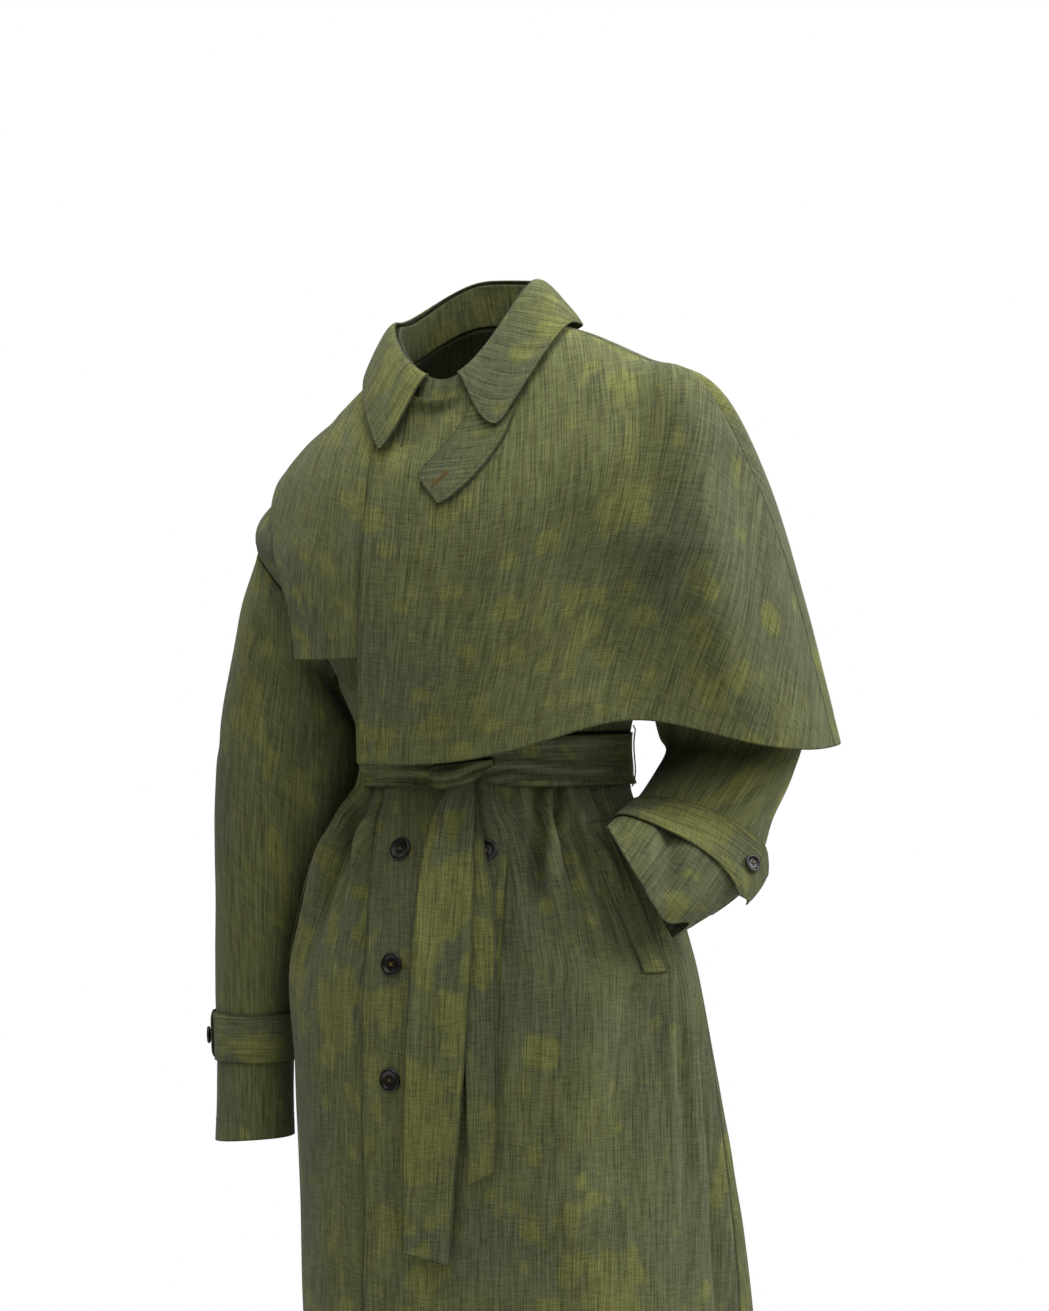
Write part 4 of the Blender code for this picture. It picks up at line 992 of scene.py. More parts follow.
def stitches(lines, sizes):
    """The rings of all the stitches along the lines: short spindles of thread, their ends in the cloth."""
    pitch, length, thick = sizes.stitch_pitch / MM, sizes.stitch_length / MM, sizes.stitch_thickness / MM
    turns = np.linspace(0.0, 2 * math.pi, STITCH_SIDES, endpoint=False)
    threads = []
    for line, normals in lines:
        for at, up, ahead in zip(*resampled(line, normals, pitch)):
            beside = np.cross(ahead, up)
            spokes = [beside * math.cos(turn) + up * math.sin(turn) for turn in turns]
            rings = []
            for along, rise, share in STITCH_RINGS:
                middle = at + ahead * along * length + up * rise * thick
                rings.append([middle + spoke * thick / 2 * share for spoke in spokes])
            threads.append(rings)
    return threads


def tube(path, radius):
    """The rings of a round thread along a path of points."""
    turns = np.linspace(0.0, 2 * math.pi, TUBE_SIDES, endpoint=False)
    ahead = unit(np.gradient(path, axis=0))
    beside = unit(np.cross(ahead, TUBE_SLANT))
    rings = []
    for at, side, rise in zip(path, beside, np.cross(beside, ahead)):
        rings.append([at + radius * (side * math.cos(t) + rise * math.sin(t)) for t in turns])
    return rings


def add_piece(name, mesh, finish, slot, *nodes, place=None):
    """An object of the coat that rides on its body and stands for the named nodes."""
    if finish.name not in mesh.materials:
        mesh.materials.append(finish)
    made = bpy.data.objects.new(name, mesh)
    if place:
        made.matrix_world = place
    bpy.context.scene.collection.objects.link(made)
    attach(made, "root")
    if nodes:
        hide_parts(*nodes)
    return made


def shell_mesh(name, points, flat, look, shift):
    """A smooth grid mesh with its flat cut, in metres, as the UV map that the cloth's thread follows."""
    rows, columns = points.shape[:2]
    kept = columns - 1 if look.closed else columns
    numbers = np.arange(rows * kept).reshape(rows, kept)
    if look.closed:
        numbers = np.concatenate([numbers, numbers[:, :1]], axis=1)
    places = np.arange(rows * columns).reshape(rows, columns)

    def quads(of):
        sides = [of[:-1, :-1], of[1:, :-1], of[1:, 1:], of[:-1, 1:]]
        return np.stack(sides if look.outward > 0 else sides[::-1], axis=-1).reshape(-1, 4)

    mesh = bpy.data.meshes.new(name)
    mesh.from_pydata((points[:, :kept].reshape(-1, 3) * MM).tolist(), [], quads(numbers).tolist())
    spread = flat.reshape(-1, 2)[quads(places)].reshape(-1, 2) + shift
    mesh.uv_layers.new(name="cut").uv.foreach_set("vector", spread.ravel() * MM)
    # Each point's distance from the grid's nearest free edge, which the cloth's finish darkens into painted
    # shade
    apart = edge_distances(points)
    free = ("top", "bottom") if look.closed else ALL_EDGES
    nearest = np.min([apart[edge] for edge in free], axis=0)
    inward = mesh.attributes.new("edge_distance", "FLOAT", "POINT")
    inward.data.foreach_set("value", nearest[:, :kept].ravel() * MM)
    mesh.shade_smooth()
    return mesh


def sew(name, points, flat, look):
    """Makes one piece of cloth: creases, soft unevenness, seams with their stitches, and thickness."""
    sizes, cut = bpy.context.scene.coat_sizes, CUTS[name]
    normals = grid_normals(points, look.closed) * look.outward
    apart = edge_distances(points)
    lift = crease_lift(flat, CREASES.get(name, ())) * sizes.crease_share
    uneven = 0.0
    for seed, wave in enumerate(SOFT_WAVES, start=len(name) + FIRST_SEED):
        uneven = uneven + wave.height * soft_noise(flat[..., 0] / wave.across, flat[..., 1] / wave.down, seed)
    lift = lift + uneven * look.ruffle
    for edge in look.hold:
        lift = lift * ease(0.0, HELD_WITHIN, apart[edge])
    for seam in look.seams:
        lift = lift - seam.depth * np.exp(-(((apart[seam.edge] - seam.inset) / seam.width) ** 2))
    points = points + normals * lift[..., None]
    piece = f"{name}_cloth"
    mesh = shell_mesh(piece, points, flat, look, cut.shift)
    made = add_piece(piece, mesh, cloth_finish(), CLOTH_SLOT, name)
    wall = look.wall if look.wall else sizes.cloth_wall / MM
    shell = made.modifiers.new("cloth thickness", "SOLIDIFY")
    shell.thickness = wall * MM
    shell.offset = 0.0
    shell.use_even_offset = False
    normals = grid_normals(points, look.closed) * look.outward
    apart = edge_distances(points)
    lines = []
    for seam in look.seams:
        if seam.stitched:
            line = seam_line(points + normals * wall / 2, apart[seam.edge], seam.inset, seam.edge)
            lines.append((line, seam_line(normals, apart[seam.edge], seam.inset, seam.edge)))
    if lines:
        trim = f"{name}_stitches"
        add_piece(trim, thread_mesh(trim, stitches(lines, sizes)), thread_finish(), CLOTH_SLOT)


# Fronts, back and sleeves

def panel_rows(step):
    """Rows down the body's panels: even steps on the yoke and the skirt, closer round the armholes."""
    fine = np.linspace(0.0, len(BODY_RINGS) - 1.0, PANEL_SAMPLES)
    length = run_lengths(between_rows(BODY_TABLE, fine)[:, FRONT], 0)

    def even(first, last, sewn_end):
        start, stop = np.interp((first, last), fine, length)
        places = start + (stop - start) * grid_steps(stop - start, step, False, sewn_end)
        return np.interp(places, length, fine)

    arm = armhole_row(np.linspace(0.0, 180.0, ARMHOLE_STEPS))
    foot = even(ARMHOLE_FOOT_ROW, len(BODY_RINGS) - 1.0, True)
    return np.concatenate([even(0.0, ARMHOLE_TOP_ROW, False)[:-1], arm, foot[1:]])


def seam_turn(radius):
    """Half a seam's gap as a turn in degrees at the given radius."""
    return np.degrees(SEAM_GAP / 2 / radius)


def side_edge(row, shoulder, seam, towards):
    """A panel's side edge: the shoulder seam, the armhole and then the side seam, as angles."""
    below = ease(ARMHOLE_FOOT_ROW, ARMHOLE_FOOT_ROW + SIDE_SEAM_ROWS, row)
    line = shoulder + (seam - shoulder) * below
    return line + towards * (armhole_half_angle(row) + seam_turn(SIDE_RADIUS))


def build_body():
    """The left front, which laps over the right front, and the back."""
    rows = panel_rows(FRONT_STEP)
    level = np.searchsorted(rows, (WAIST_ROW, HIP_ROW))

    u, v = np.meshgrid(grid_steps(FRONT_LEFT_WIDTH, FRONT_STEP, True, True), rows)
    start = edge_angle(BODY_TABLE, v, LEFT_FRONT_EDGE_X)
    stop = side_edge(v, LEFT_SHOULDER, LEFT_SIDE_SEAM, -1)
    points = body(start + (stop - start) * u, v)
    look = Look(seams=(COAT_HEM, RIGHT_SIDE, RAISED_EDGE, EDGE_GROOVE), hold=("top", "right"))
    sew("front_left", points, gathered_cut(points, *level, grain=0.0), look)

    u, v = np.meshgrid(grid_steps(FRONT_RIGHT_WIDTH, FRONT_STEP, True, True), rows)
    start = side_edge(v, RIGHT_SHOULDER, RIGHT_SIDE_SEAM, 1)
    stop = edge_angle(BODY_TABLE, v, RIGHT_FRONT_EDGE_X)
    angle = start + (stop - start) * u
    lap = edge_angle(BODY_TABLE, v, LEFT_FRONT_EDGE_X)
    start_slope, end_slope = (lap - turn for turn in UNDERLAP_SLOPE)
    dip = UNDERLAP_DIP * np.exp(-(((angle - lap) / UNDERLAP_DIP_TURN) ** 2))
    points = moved_out(body, angle, v, -UNDERLAP_DEPTH * ease(start_slope, end_slope, angle) - dip)[0]
    seams = (COAT_HEM._replace(stitched=False), LEFT_SIDE)
    look = Look(seams=seams, hold=("top", "left"), ruffle=0.6)
    sew("front_right", points, gathered_cut(points, *level, grain=0.6), look)

    rows = panel_rows(BACK_STEP)
    level = np.searchsorted(rows, (WAIST_ROW, HIP_ROW))
    u, v = np.meshgrid(grid_steps(BACK_WIDTH, BACK_STEP, True, True), rows)
    start = side_edge(v, LEFT_SHOULDER, LEFT_SIDE_SEAM, 1) - 360.0
    stop = side_edge(v, RIGHT_SHOULDER, RIGHT_SIDE_SEAM, -1)
    points = body(start + (stop - start) * u, v)
    look = Look(seams=(COAT_HEM, LEFT_SIDE, RIGHT_SIDE), hold=("top", "left", "right"))
    sew("back", points, gathered_cut(points, *level, grain=0.5), look)


def build_sleeve(side):
    """One sleeve, from its armhole to its open cuff, with its seam on the inside."""
    steps = grid_steps(SLEEVE_LENGTHS[side], SLEEVE_STEP, True, True)
    u, v = np.meshgrid(np.linspace(0.0, 1.0, SLEEVE_COLUMNS), steps)
    angle, gape = 360.0 * u - 180.0, CUFF_GAPES[side]
    short = gape.depth * np.exp(-((turn_between(angle, gape.angle) / gape.width) ** 2))
    points = sleeve_surface(side)(angle, (len(SLEEVES[side]) - short) * v)
    flat = straight_cut(points, grain=0.5)
    if side == "left":
        below = v[:, 0] > CUFF_CUT_FROM
        flat[below] = cuff_cut(points[below])
    look = Look(outward=SLEEVE_SENSE[side], closed=True, seams=(ARMHOLE_SEAM, CUFF_HEM), hold=("top",))
    sew(f"sleeve_{side}", points, flat, look)


# Cape and collar

def build_cape():
    """The cape's left front, its back, and the shorter flap on the right front."""
    size = GRIDS["cape_left"]
    u, v = round_corner(*shares(size), (0, 1), CAPE_CORNER, size.width, size.length)
    row = CAPE_LAST_ROW * v
    gap = seam_turn(between_rows(CAPE_TABLE, row)[..., LEFT, 0])
    start = edge_angle(CAPE_TABLE, row, LEFT_FRONT_EDGE_X)
    points = cape(start + (CAPE_ARM_SEAM - 2 * gap - start) * u, row)
    look = Look(seams=(CAPE_HEM, RIGHT_ARM_LINE, RAISED_EDGE, EDGE_GROOVE), hold=("top", "right"))
    sew("cape_left", points, round_cut(points, CAPE_CUT_RADIUS, *CAPE_LEFT_TURNS), look)

    size = GRIDS["cape_back"]
    u, v = round_corner(*shares(size), (1, 1), CAPE_BACK_CORNER, size.width, size.length)
    row = CAPE_LAST_ROW * v
    gap = seam_turn(between_rows(CAPE_TABLE, row)[..., LEFT, 0])
    start = CAPE_ARM_SEAM - 360.0 + 2 * gap
    stop = RIGHT_SHOULDER - 2 * gap - CAPE_BACK_SWING * ease(*CAPE_BACK_SWING_ROWS, row)
    points = cape(start + (stop - start) * u, row)
    look = Look(seams=(CAPE_HEM, LEFT_ARM_LINE), hold=("top", "left"))
    sew("cape_back", points, round_cut(points, CAPE_CUT_RADIUS, *CAPE_BACK_TURNS), look)

    size = GRIDS["flap_right"]
    u, v = round_corner(*shares(size), (0, 1), FLAP_CORNER, FLAP_FOOT_WIDTH, size.length)
    row = np.interp(u, (0.0, 1.0), FLAP_LAST_ROWS) * v
    gap = seam_turn(between_rows(CAPE_TABLE, row)[..., LEFT, 0])
    start = flap_edge(row) + 2 * gap
    stop = edge_angle(CAPE_TABLE, row, LEFT_FRONT_EDGE_X + FLAP_UNDERLAP)
    angle = start + (stop - start) * u
    under = -FLAP_DEPTH * ease(RIGHT_SHOULDER, RIGHT_SHOULDER + FLAP_SINKS_WITHIN, angle)
    points = moved_out(cape, angle, row, under)[0]
    look = Look(seams=(FLAP_HEM,), hold=("top", "right"))
    sew("flap_right", points, straight_cut(points, grain=1.0), look)


def strip_on(surface, rows, off, near):
    """Places a strip on a surface by rows that start with across and height and end with half width."""
    lines = table(rows)

    def place(u, v):
        at = v * (len(lines) - 1)
        line = between_rows(lines, at)
        run = unit((between_rows(lines, at + STRIP_STEP) - between_rows(lines, at - STRIP_STEP))[..., :2])
        half = line[..., -1] * (2 * u - 1)
        across = line[..., 0] + run[..., 1] * half
        height = line[..., 1] - run[..., 0] * half
        angle, row = find_spot(surface, across, height, *near)
        return moved_out(surface, angle, row, off(line, u))[0]

    return place


def build_collar():
    """The stand, whose left end laps over its right, the fall that turns down over it, and the tab."""
    wall = bpy.context.scene.coat_sizes.collar_wall / MM
    foot_corners = ((0, 1), (1, 1))

    u, v = shares(GRIDS["collar_stand"])
    angle = np.interp(u, (0.0, 1.0), STAND_ANGLES)
    points = ring_points(STAND_TABLE, angle, STAND_TOP * (1 - v))
    out = STAND_LAP * ease(*STAND_LAP_SHARES, u) - STAND_SITS_IN * (1 - v) - STAND_FOOT_IN * v
    points = pushed_out(points, angle, out)
    sew("collar_stand", points, turned(long_cut(points), STAND_GRAIN_TURN), Look(wall=wall, ruffle=0.2))

    size = GRIDS["collar"]
    u, v = shares(size)
    for corner in foot_corners:
        u, v = round_corner(u, v, corner, COLLAR_CORNER, size.width, size.length)
    fold = np.interp(u, (0.0, 1.0), FALL_FOLD_ANGLES)
    edge = np.interp(u, (0.0, 1.0), FALL_EDGE_ANGLES)
    angle = fold + (edge - fold) * v
    roll = COLLAR_ROLL * np.sin(math.pi * np.clip(v, 0.0, 1.0) ** COLLAR_ROLL_HIGH)
    points = pushed_out(ring_points(COLLAR_TABLE, angle, v), angle, roll, COLLAR_ROLL_RISE)
    seams = topstitched(("left", "right", "bottom"), COLLAR_GROOVE)
    look = Look(wall=wall, seams=seams, hold=("top",), ruffle=0.5)
    sew("collar", points, round_cut(points, COLLAR_CUT_RADIUS, *COLLAR_TURNS), look)

    place = strip_on(cape, THROAT_TAB, lambda line, u: TAB_STANDS_OFF, NEAR_THROAT)
    size = GRIDS["throat_tab"]
    u, v = shares(size)
    for corner in foot_corners:
        u, v = round_corner(u, v, corner, TAB_CORNER, size.width, size.length)
    points = place(u, v)
    seams = topstitched(("left", "right", "bottom"), TAB_GROOVE)
    look = Look(wall=wall, seams=seams, ruffle=0.3, outward=-1)
    sew("throat_tab", points, turned(straight_cut(points, grain=0.5), TAB_GRAIN_TURN), look)
    buttonhole("tab_buttonhole", place, *TAB_BUTTONHOLE, -TAB_BUTTONHOLE_OFF, STRIP_STEPS)


# Belt, pockets and cuff straps

def build_belt():
    """The belt round the waist, the knot's band, the two tails and the loops."""
    u, v = np.meshgrid(np.linspace(0.0, 1.0, BELT_COLUMNS), grid_steps(BELT_WIDTH, BELT_STEP))
    angle = KNOT_ANGLE + 360.0 * u
    pinch = KNOT_PINCH * np.exp(-((turn_between(angle, KNOT_ANGLE) / KNOT_SPREAD) ** 2))
    half = BELT_WIDTH / 2 - pinch
    row = body_row_at(belt_height(angle) + half * (1 - 2 * v))
    points = moved_out(body, angle, row, BELT_STANDS_OFF)[0]
    sew("belt", points, long_cut(points), Look(wall=BELT_WALL, closed=True, ruffle=0.25))

    place = strip_on(body, KNOT, lambda line, u: line[..., 2] - line[..., 3] * (2 * u - 1) ** 2, NEAR_KNOT)
    points = place(*shares(GRIDS["belt_knot"]))
    look = Look(wall=KNOT_WALL, outward=-1, ruffle=0.3)
    sew("belt_knot", points, straight_cut(points, grain=0.5), look)

    for name, tail in BELT_TAILS.items():
        piece = f"belt_tail_{name}"
        u, v = shares(GRIDS[piece])
        line = between_rows(table(tail.rows), v * (len(tail.rows) - 1))
        across = line[..., 1] + (line[..., 2] - line[..., 1]) * u
        height = line[..., 0] - tail.end_slant * (u - 0.5) * ease(*TAIL_SLANTS_WITHIN, v)
        angle, row = find_spot(body, across, height, *NEAR_TAILS)
        points = moved_out(body, angle, row, line[..., 3])[0]
        look = Look(wall=BELT_WALL, ruffle=0.5)
        sew(piece, points, straight_cut(points, grain=0.5), look)

    half_turn = math.degrees(LOOP_WIDTH / 2 / WAIST_RADIUS)
    for side, middle in LOOP_ANGLES.items():
        u, v = shares(GRIDS["belt_loop"])
        angle = middle + half_turn * (2 * u - 1)
        height = belt_height(middle) + LOOP_RISE + LOOP_HALF_HEIGHT * (1 - 2 * v)
        bridge = LOOP_BRIDGE * ease(0.0, LOOP_BRIDGE_SHARE, v) * ease(1.0, 1.0 - LOOP_BRIDGE_SHARE, v)
        points = moved_out(body, angle, body_row_at(height), LOOP_STANDS_OFF + bridge)[0]
        sew(f"belt_loop_{side}", points, straight_cut(points), Look(ruffle=0.0))


def build_pockets():
    """A slanted welt on each of the skirt's side fronts."""
    for side, welt in POCKET_WELTS.items():
        piece = f"pocket_welt_{side}"
        u, v = shares(GRIDS[piece])
        height = welt.top_height + (welt.foot_height - welt.top_height) * v
        middle = welt.top_angle + (welt.foot_angle - welt.top_angle) * v
        angle = middle + math.degrees(welt.width / 2 / SKIRT_RADIUS) * (2 * u - 1)
        points = moved_out(body, angle, body_row_at(height), welt.stands_off)[0]
        look = Look(seams=topstitched(("top", "bottom"), WELT_GROOVE), ruffle=0.2)
        sew(piece, points, straight_cut(points, grain=0.5), look)


def strap_surface(side):
    """The cuff strap as a surface: u along it to its pointed end, v across it."""
    surface = sleeve_surface(side)
    strap = CUFF_STRAPS[side]

    def place(u, v):
        angle = strap.start + (strap.finish - strap.start) * u
        point = ease(STRAP_POINT_FROM, 1.0, u)
        middle = (strap.upper + strap.lower) / 2
        half = (strap.upper - middle) * (1 - 2 * v) * (1 - STRAP_POINT_NARROWS * point)
        row = middle + half - strap.tilt * np.maximum(np.sin(np.radians(angle)), 0.0)
        off = STRAP_STANDS_OFF + strap.end_rise * ease(*STRAP_RISES_WITHIN, u)
        return moved_out(surface, angle, row, SLEEVE_SENSE[side] * off)[0]

    return place


def build_cuff_straps():
    """A strap round each lower sleeve, its pointed end on the outside."""
    for side in CUFF_STRAPS:
        points = strap_surface(side)(*shares(GRIDS["cuff_strap"]))
        seams = topstitched(("top", "bottom", "right"), STRAP_GROOVE)
        look = Look(wall=STRAP_WALL, seams=seams, ruffle=0.3)
        sew(f"cuff_strap_{side}", points, long_cut(points), look)


# Buttons

def turned_button(name, diameter):
    """A horn button: a turned disc with a rim and a dished face, drilled with four holes."""
    radius = diameter / 2
    turns = np.linspace(0.0, 2 * math.pi, BUTTON_SIDES, endpoint=False)
    bm = bmesh.new()
    rings = []
    for share, rise in BUTTON_OUTLINE:
        reach, height = share * radius * MM, rise * BUTTON_THICKNESS * MM
        if share == 0.0:
            rings.append([bm.verts.new((0.0, 0.0, height))] * BUTTON_SIDES)
            continue
        rings.append([bm.verts.new((math.cos(t) * reach, math.sin(t) * reach, height)) for t in turns])
    for upper, lower in zip(rings, rings[1:]):
        for k in range(BUTTON_SIDES):
            beside = (k + 1) % BUTTON_SIDES
            corners = [upper[k], lower[k], lower[beside], upper[beside]]
            bm.faces.new(list(dict.fromkeys(corners)))
    mesh = bpy.data.meshes.new(name)
    bm.to_mesh(mesh)
    bm.free()
    return drilled(name, mesh, radius)


def drilled(name, mesh, radius):
    """The button's mesh with its four holes cut through."""
    bm = bmesh.new()
    hole = {"radius1": HOLE_RADIUS * MM, "radius2": HOLE_RADIUS * MM, "depth": DRILL_LENGTH * MM}
    for turn in HOLE_TURNS:
        place = Vector((math.cos(turn), math.sin(turn), 0.0)) * HOLE_CIRCLE * radius * MM
        made = bmesh.ops.create_cone(bm, cap_ends=True, segments=HOLE_SIDES, **hole)
        bmesh.ops.translate(bm, verts=made["verts"], vec=place)
    drill_mesh = bpy.data.meshes.new("drill")
    bm.to_mesh(drill_mesh)
    bm.free()
    blank = bpy.data.objects.new("blank", mesh)
    drill = bpy.data.objects.new("drill", drill_mesh)
    for made in (blank, drill):
        bpy.context.scene.collection.objects.link(made)
    cut = blank.modifiers.new("holes", "BOOLEAN")
    cut.object = drill
    cut.operation = "DIFFERENCE"
    cut.solver = "EXACT"
    bpy.context.view_layer.update()
    result = bpy.data.meshes.new_from_object(blank.evaluated_get(bpy.context.evaluated_depsgraph_get()))
    result.name = name
    bpy.data.objects.remove(blank)
    bpy.data.objects.remove(drill)
    result.shade_smooth()
    result.set_sharp_from_angle(angle=BUTTON_SHARP_ANGLE)
    return result


def set_button(name, mesh, diameter, seat, normal):
    """Sets a button on its seat, with the crossed thread that holds it."""
    place = Vector((0.0, 0.0, 1.0)).rotation_difference(Vector(normal)).to_matrix().to_4x4()
    place.translation = Vector(seat) * MM
    add_piece(f"{name}_horn", mesh, horn_finish(), HORN_SLOT, name, place=place)
    reach = HOLE_CIRCLE * diameter / 2
    share = np.linspace(-1.0, 1.0, THREAD_STEPS)
    rise = BUTTON_DISH * BUTTON_THICKNESS + THREAD_ARCH * (1 - share**4) - THREAD_SINK * share**8
    threads = []
    for turn in HOLE_TURNS[:2]:
        path = np.stack([share * reach * math.cos(turn), share * reach * math.sin(turn), rise], axis=-1)
        threads.append(tube(path, THREAD_RADIUS))
    mesh = thread_mesh(f"{name}_thread", threads)
    add_piece(f"{name}_thread", mesh, buttonhole_finish(), HORN_SLOT, place=place)


def buttonhole(name, surface, start, stop, off, steps=SURFACE_STEPS):
    """A worked buttonhole: thread round a slit between two spots of a surface, each given by two values."""
    turns = np.linspace(0.0, 2 * math.pi, BUTTONHOLE_STEPS)
    along = np.cos(turns)
    share = 0.5 + 0.5 * np.sign(along) * np.abs(along) ** BUTTONHOLE_SQUARENESS
    spots = [first + (last - first) * share for first, last in zip(start, stop)]
    points, normals = moved_out(surface, *spots, off, steps)
    side = unit(np.cross(normals, points[0] - points[len(points) // 2]))
    points = points + side * (np.sin(turns) * BUTTONHOLE_HALF_WIDTH)[:, None]
    mesh = thread_mesh(name, [tube(points, BUTTONHOLE_THREAD)])
    add_piece(name, mesh, buttonhole_finish(), CLOTH_SLOT)


def build_buttons():
    """Two columns of buttons down the lapped fronts, one on each cuff strap, and the buttonholes."""
    sizes = bpy.context.scene.coat_sizes
    front = turned_button("front_button", sizes.front_button / MM)
    cuff = turned_button("cuff_button", sizes.cuff_button / MM)
    for column, across in BUTTON_COLUMNS.items():
        for number, place in enumerate(BUTTON_ROWS, start=1):
            angle, row = find_spot(body, np.array([across]), np.array([place.height]), *NEAR_BUTTONS)
            seat, normal = moved_out(body, angle, row, place.stands_off)
            name = f"front_button_{column}_{number}"
            set_button(name, front, sizes.front_button / MM, seat[0], normal[0])
            if column == "right":
                ends = [(angle + math.degrees(reach / SKIRT_RADIUS), row) for reach in BUTTONHOLE_REACH]
                buttonhole(f"buttonhole_{number}", body, *ends, BUTTONHOLE_OFF)
    for side, strap in CUFF_STRAPS.items():
        along = np.array([(strap.button - strap.start) / (strap.finish - strap.start)])
        middle = np.array([0.5])
        seat, normal = moved_out(strap_surface(side), along, middle, CUFF_BUTTON_OFF, STRIP_STEPS)
        set_button(f"cuff_button_{side}", cuff, sizes.cuff_button / MM, seat[0], normal[0])


# Finishes

def linear(code):
    """An sRGB hex colour as linear red, green and blue."""
    parts = [int(code[k : k + 2], 16) / 255 for k in (0, 2, 4)]
    return [part / 12.92 if part <= 0.04045 else ((part + 0.055) / 1.055) ** 2.4 for part in parts]


def add_node(tree, kind, inputs=None, **settings):
    """Adds a node with its settings, and sets its sockets to values or links them to other sockets."""
    made = tree.nodes.new(kind)
    for name, value in settings.items():
        setattr(made, name, value)
    for name, value in (inputs or {}).items():
        if isinstance(value, bpy.types.NodeSocket):
            tree.links.new(value, made.inputs[name])
        else:
            made.inputs[name].default_value = value
    return made


def new_finish(name, roughness):
    """An empty finish: its node tree and its shader."""
    made = bpy.data.materials.new(name)
    made.use_nodes = True
    shader = made.node_tree.nodes["Principled BSDF"]
    shader.inputs["Roughness"].default_value = roughness
    return made, made.node_tree, shader


def rgba(colour):
    """A colour property as the four numbers that a node's socket takes."""
    return (*colour, 1.0)


